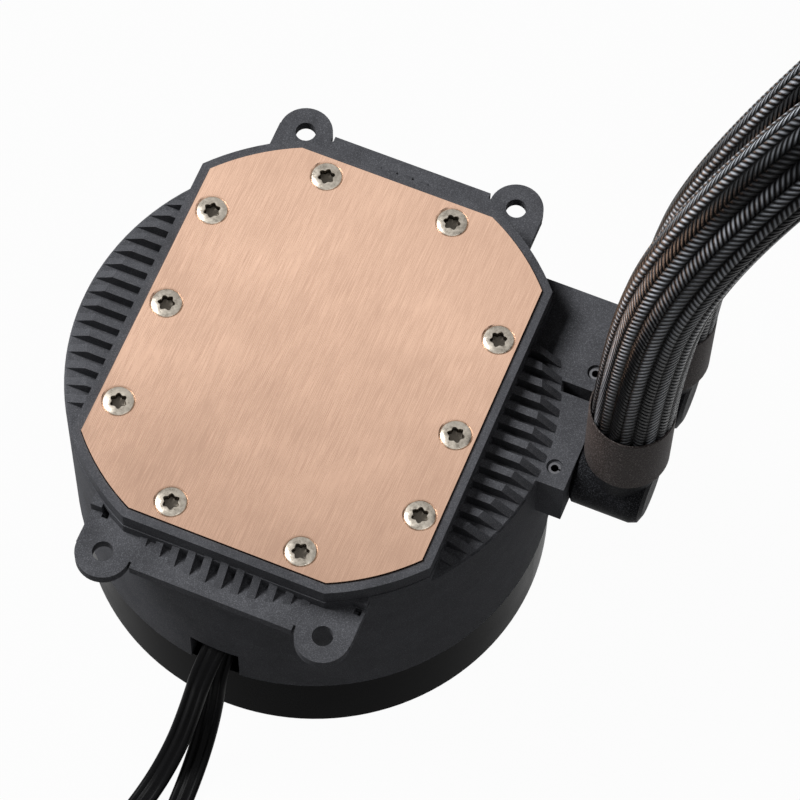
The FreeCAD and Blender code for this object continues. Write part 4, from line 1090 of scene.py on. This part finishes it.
@dataclass
class PlateScrews:
    """The ten screws of the cold plate, each a turned shape with a six lobed recess in its head.

    Attributes:
        head_top: Height of the heads' tops, in millimetres as all the others.
        head_radius: Radius of a head.
        tip: Height of the tips.
        tip_radius: Radius of the flat end of a tip.
        lead_in: Length of the taper between the tip and the thread.
        thread_radii: Radius at the root and at the crest of the thread.
        thread_step: Height from root to crest.
        thread_rings: Roots and crests together.
        shank_radius: Radius between the thread and the head.
        shank_depths: Depths below the top between which the shank runs.
        head_profile: How far inside the head's radius, and below its top, each ring of the head lies.
        recess_profile: Mean radius, swing and depth of each ring of the recess.
        lobes: Lobes of the recess.
        places: Place across and along the plate of each screw, and the turn of its recess in radians.
        sides: Points round a ring.
    """

    head_top: float = SCREW_TOP
    head_radius: float = 2.62
    tip: float = 46.0
    tip_radius: float = 0.8
    lead_in: float = 0.5
    thread_radii: Range = (1.16, 1.4)
    thread_step: float = 0.25
    thread_rings: int = 28
    shank_radius: float = 1.3
    shank_depths: Range = (3.0, 1.5)
    head_profile: tuple[Range, ...] = ((0.1, 1.5), (0.0, 1.35), (0.0, 0.32), (0.08, 0.12), (0.25, 0.0))
    recess_profile: tuple[Point, ...] = (
        (1.28, 0.17, 0.0), (1.2, 0.175, 0.1), (1.13, 0.17, 1.1), (0.0, 0.0, 1.25),
    )
    lobes: int = 6
    places: tuple[Point, ...] = (
        (11.0, 31.5, 0.1), (-11.0, 31.5, 0.6), (11.0, -31.3, 0.35), (-11.0, -31.3, 0.85),
        (-25.7, 18.6, 0.7), (-25.7, 0.35, 0.2), (-25.7, -18.5, 0.9), (25.8, 14.7, 0.5),
        (25.8, -3.5, 0.05), (25.8, -18.5, 0.75),
    )
    sides: int = 72

    def rings(self) -> list[Point]:
        """List the rings from the tip over the thread, shank and head down into the recess.

        Returns:
            Mean radius, swing and height of each ring.
        """
        top, foot = self.head_top, self.tip + self.lead_in
        thread = [(self.thread_radii[k % 2], 0.0, foot + self.thread_step * k)
                  for k in range(self.thread_rings)]
        shank = [(self.shank_radius, 0.0, top - depth) for depth in self.shank_depths]
        head = [(self.head_radius - inset, 0.0, top - depth) for inset, depth in self.head_profile]
        recess = [(radius, swing, top - depth) for radius, swing, depth in self.recess_profile]
        return [(0.0, 0.0, self.tip), (self.tip_radius, 0.0, self.tip), *thread, *shank, *head, *recess]

    def build(self, finish: bpy.types.Material) -> bpy.types.Object:
        """Make the screws.

        Args:
            finish: Nickel plate.

        Returns:
            The screws as one piece.
        """
        rings = self.rings()
        shells = [turned(rings, self.sides, self.lobes, (x, y, 0.0), twist) for x, y, twist in self.places]
        piece = Shell.joined(shells).piece("plate_screw_set", finish)
        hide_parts("plate_screws")
        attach(piece, Body.COOLER.value)
        return piece


@dataclass
class FoldedFins:
    """The radiator's thin folded strips: each is a triangle wave along Y, thin in X and tall in Z.

    Attributes:
        pitch: Length of one wave, in millimetres as all the others.
        sheet: Thickness of the strip.
        tubes: Flat tubes between the strips.
        tube: Thickness of a tube.
        slack: Room between a fold and its tube.
    """

    pitch: float = 1.9
    sheet: float = 0.16
    tubes: int = 10
    tube: float = 2.0
    slack: float = 0.01

    def strip(self, base: float, y: np.ndarray, wave: np.ndarray, heights: Range) -> Shell:
        """Make one strip: the wave and the wave moved by the sheet, each at two heights.

        Args:
            base: Where the space between two tubes starts, along X.
            y: Places of the folds along Y.
            wave: How far from the base each fold lies.
            heights: Lower and upper edge.

        Returns:
            The closed strip.
        """
        low, high = heights
        near, far = wave + base, wave + base + self.sheet
        corners = [(near, low), (far, low), (far, high), (near, high)]
        points = np.stack([np.stack([x, y, np.full_like(y, z)], axis=1) for x, z in corners], axis=1)
        quads, _counts = grid_faces(len(y), 4)
        ends = [np.array([[3, 2, 1, 0]]), np.array([[0, 1, 2, 3]]) + (len(y) - 1) * 4]
        return Shell(points.reshape(-1, 3) * MM, [quads, *ends]).outward()

    def build(self, finish: bpy.types.Material) -> bpy.types.Object:
        """Make all the strips inside the box of the CAD node.

        Args:
            finish: Black paint.

        Returns:
            The strips as one piece.
        """
        low, high = (np.array(c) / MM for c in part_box("radiator_fins"))
        space = (high[0] - low[0] - self.tubes * self.tube) / (self.tubes + 1)
        count = round((high[1] - low[1]) / self.pitch) * 2
        y = np.linspace(low[1], high[1], count + 1)
        wave = (np.arange(count + 1) % 2) * (space - self.sheet - 2 * self.slack) + self.slack
        bases = [low[0] + k * (space + self.tube) for k in range(self.tubes + 1)]
        shells = [self.strip(base, y, wave, (low[2], high[2])) for base in bases]
        piece = Shell.joined(shells).piece("folded_fins", finish)
        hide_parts("radiator_fins")
        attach(piece, Body.COOLER.value)
        return piece


# Studio


@dataclass(frozen=True)
class Lamp:
    """A square soft lamp.

    Attributes:
        name: Name of the lamp.
        place: Its place in metres.
        power: Its power in watts.
        size: Its side in metres.
    """

    name: str
    place: Point
    power: float
    size: float


@dataclass
class Studio:
    """Camera, lamps, world and floor.

    Attributes:
        place: Camera's place in millimetres.
        back: Direction from the object to the camera.
        up: Up in the picture.
        lens: Focal length in millimetres.
        sensor: Width of the sensor in millimetres.
        clip: Nearest and farthest distance that the camera sees, in metres.
        lamps: The lamps.
        aim: Place in metres that the lamps face.
        sky: Strength of the light from all round.
        ground: Share of plain white in the floor, as the camera and mirrors see it.
        ground_tone: Grey of the floor that takes the shadow.
        ground_half: Half the floor's side in metres.
    """

    place: Point = (113.5, -256.94, 625.9)
    back: Point = (0.1553, -0.4046, 0.9012)
    up: Point = (-0.3467, 0.8319, 0.4332)
    lens: float = 179.67
    sensor: float = 36.0
    clip: Range = (0.01, 20.0)
    lamps: tuple[Lamp, ...] = (
        Lamp("key_lamp", (-0.9, 0.0, 1.15), 21.0, 0.6),
        Lamp("side_lamp", (0.6, -0.35, 1.3), 1.5, 0.3),
        Lamp("fill_lamp", (0.4, -0.9, 1.2), 0.3, 0.5),
    )
    aim: Point = (0.05, 0.03, 0.04)
    sky: float = 0.05
    ground: float = 0.97
    ground_tone: float = 0.3
    ground_half: float = 6.0

    def camera(self) -> None:
        """Set the camera at the photograph's place and angle."""
        data = bpy.data.cameras.new("camera")
        data.lens = self.lens
        data.sensor_width = self.sensor
        data.clip_start, data.clip_end = self.clip
        camera = bpy.data.objects.new("camera", data)
        back = Vector(self.back).normalized()
        right = Vector(self.up).cross(back).normalized()
        turn = Matrix((right, back.cross(right), back)).transposed().to_4x4()
        camera.matrix_world = Matrix.Translation(Vector(self.place) * MM) @ turn
        bpy.context.scene.collection.objects.link(camera)
        bpy.context.scene.camera = camera

    def hang(self, lamp: Lamp) -> None:
        """Add a lamp that faces the pump head.

        Args:
            lamp: The lamp.
        """
        data = bpy.data.lights.new(lamp.name, "AREA")
        data.energy, data.size = lamp.power, lamp.size
        light = bpy.data.objects.new(lamp.name, data)
        turn = (Vector(lamp.place) - Vector(self.aim)).to_track_quat("Z", "Y").to_matrix().to_4x4()
        light.matrix_world = Matrix.Translation(lamp.place) @ turn
        bpy.context.scene.collection.objects.link(light)

    def seen_white(self, tree: bpy.types.NodeTree) -> bpy.types.NodeSocket:
        """One for rays from the camera, a mirror or glass, and nought for the rest.

        Args:
            tree: Nodes to add to.

        Returns:
            The socket that gives it.
        """
        path = tree.nodes.new("ShaderNodeLightPath")
        total = path.outputs["Is Camera Ray"]
        for name in ("Is Glossy Ray", "Is Transmission Ray"):
            most = tree.nodes.new("ShaderNodeMath")
            most.operation = "MAXIMUM"
            tree.links.new(total, most.inputs[0])
            tree.links.new(path.outputs[name], most.inputs[1])
            total = most.outputs[0]
        return total

    def world(self) -> None:
        """White to the eye, and a low even light on everything else."""
        world = bpy.data.worlds.new("world")
        world.use_nodes = True
        tree = world.node_tree
        background = tree.nodes["Background"]
        strength = tree.nodes.new("ShaderNodeMapRange")
        strength.inputs["To Min"].default_value = self.sky
        strength.inputs["To Max"].default_value = 1.0
        tree.links.new(self.seen_white(tree), strength.inputs["Value"])
        tree.links.new(strength.outputs[0], background.inputs["Strength"])
        background.inputs["Color"].default_value = (1.0, 1.0, 1.0, 1.0)
        bpy.context.scene.world = world

    def floor(self) -> None:
        """A wide pale floor that keeps a faint shadow."""
        material = bpy.data.materials.new("pale_floor")
        material.use_nodes = True
        tree = material.node_tree
        tree.nodes.clear()
        out = tree.nodes.new("ShaderNodeOutputMaterial")
        mix = tree.nodes.new("ShaderNodeMixShader")
        matt = tree.nodes.new("ShaderNodeBsdfDiffuse")
        matt.inputs["Color"].default_value = (*(self.ground_tone,) * 3, 1.0)
        glow = tree.nodes.new("ShaderNodeEmission")
        share = tree.nodes.new("ShaderNodeMath")
        share.operation = "MULTIPLY"
        share.inputs[1].default_value = self.ground
        tree.links.new(self.seen_white(tree), share.inputs[0])
        tree.links.new(share.outputs[0], mix.inputs[0])
        tree.links.new(matt.outputs[0], mix.inputs[1])
        tree.links.new(glow.outputs[0], mix.inputs[2])
        tree.links.new(mix.outputs[0], out.inputs[0])
        mesh = bpy.data.meshes.new("floor")
        half = self.ground_half
        corners = [(-half, -half, 0), (half, -half, 0), (half, half, 0), (-half, half, 0)]
        mesh.from_pydata(corners, [], [(0, 1, 2, 3)])
        mesh.materials.append(material)
        floor = bpy.data.objects.new("floor", mesh)
        bpy.context.scene.collection.objects.link(floor)

    def build(self) -> None:
        """Set up the whole studio."""
        bpy.context.scene.view_settings.view_transform = "Standard"
        self.camera()
        self.world()
        self.floor()
        for lamp in self.lamps:
            self.hang(lamp)


FRONT_ROUTE = (
    (51.6, 4.7, 56.0), (51.6, 4.7, 88.0), (56.1, 7.0, 122.0), (75.8, 21.1, 158.4), (104.8, 49.4, 170.9),
    (128.0, 76.5, 170.5), (147.1, 101.0, 158.2), (164.8, 114.0, 137.7), (179.7, 117.7, 112.4),
    (191.6, 111.8, 86.0), (200.2, 96.6, 62.6), (205.5, 73.9, 45.9), (207.5, 46.1, 38.5),
    (207.5, 26.0, 38.5),
)
REAR_ROUTE = (
    (51.6, 22.75, 56.0), (51.6, 22.75, 84.0), (56.6, 23.4, 113.1), (71.4, 33.4, 146.2),
    (95.2, 62.3, 169.3), (117.5, 92.5, 170.5), (139.0, 118.5, 160.0), (157.6, 134.4, 138.5),
    (172.1, 138.5, 111.2), (182.4, 130.6, 84.5), (186.7, 111.6, 60.9), (183.0, 86.0, 44.5),
    (172.5, 53.3, 38.5), (172.5, 26.0, 38.5),
)
PUMP_LEAD_ROUTE = (
    (-0.9, -33.2, 23.9), (-1.5, -43.0, 23.0), (-2.5, -47.2, 12.8), (-3.4, -51.5, 6.0),
    (-4.8, -57.5, 1.6), (-6.6, -65.0, 0.72), (-9.7, -78.0, 0.72), (-12.8, -93.0, 0.72),
    (-14.9, -103.0, 0.72),
)
PUMP_TAIL = ((-17.5, -110.5, 3.9), (-23.0, -122.0, 3.6), (-29.5, -127.7, 3.2), (-37.5, -127.7, 3.0))
LIGHT_LEAD_ROUTE = (
    (-0.4, -33.2, 21.5), (-0.2, -40.6, 20.9), (0.0, -44.2, 10.6), (0.1, -48.6, 4.6), (0.2, -54.6, 1.2),
    (0.4, -62.5, 0.72), (0.7, -72.0, 0.72), (1.0, -82.6, 0.72),
)
LIGHT_TAIL = ((1.3, -92.0, 3.9), (6.5, -104.5, 3.6), (14.5, -111.6, 3.2), (24.0, -111.6, 3.0))


def leads() -> list[Lead]:
    """Describe the two flat leads.

    Returns:
        The pump's lead and the lit cap's lead.
    """
    return [
        Lead(
            "pump_lead_wires", ("pump_lead", "pump_lead_coil"), "pump_lead_plug", PUMP_LEAD_ROUTE,
            centre=(-35.5, -98.7), start=-11.8, way=Way.CLOCKWISE, tail=PUMP_TAIL, tie_angle=150.0,
        ),
        Lead(
            "light_lead_wires", ("light_lead", "light_lead_coil"), "light_lead_plug", LIGHT_LEAD_ROUTE,
            centre=(22.0, -82.6), start=180.0, way=Way.ANTICLOCKWISE, tail=LIGHT_TAIL, tie_angle=20.0,
        ),
    ]


def main() -> None:
    """Build the cooler's pieces in order and report each."""
    logging.basicConfig(level=logging.INFO, format="%(name)s %(message)s")
    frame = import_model()
    finishes = Finishes()
    finishes.dress(frame["nodes"])
    Studio().build()
    Hose("front_hose_braid", "front_hose", Body.FRONT, FRONT_ROUTE).build(finishes.of(BRAID))
    Hose("rear_hose_braid", "rear_hose", Body.REAR, REAR_ROUTE).build(finishes.of(BRAID))
    for lead in leads():
        lead.build(finishes)
    PlateScrews().build(finishes.of(NICKEL))
    FoldedFins().build(finishes.of(FIN_PAINT))


if __name__ == "__main__":
    main()
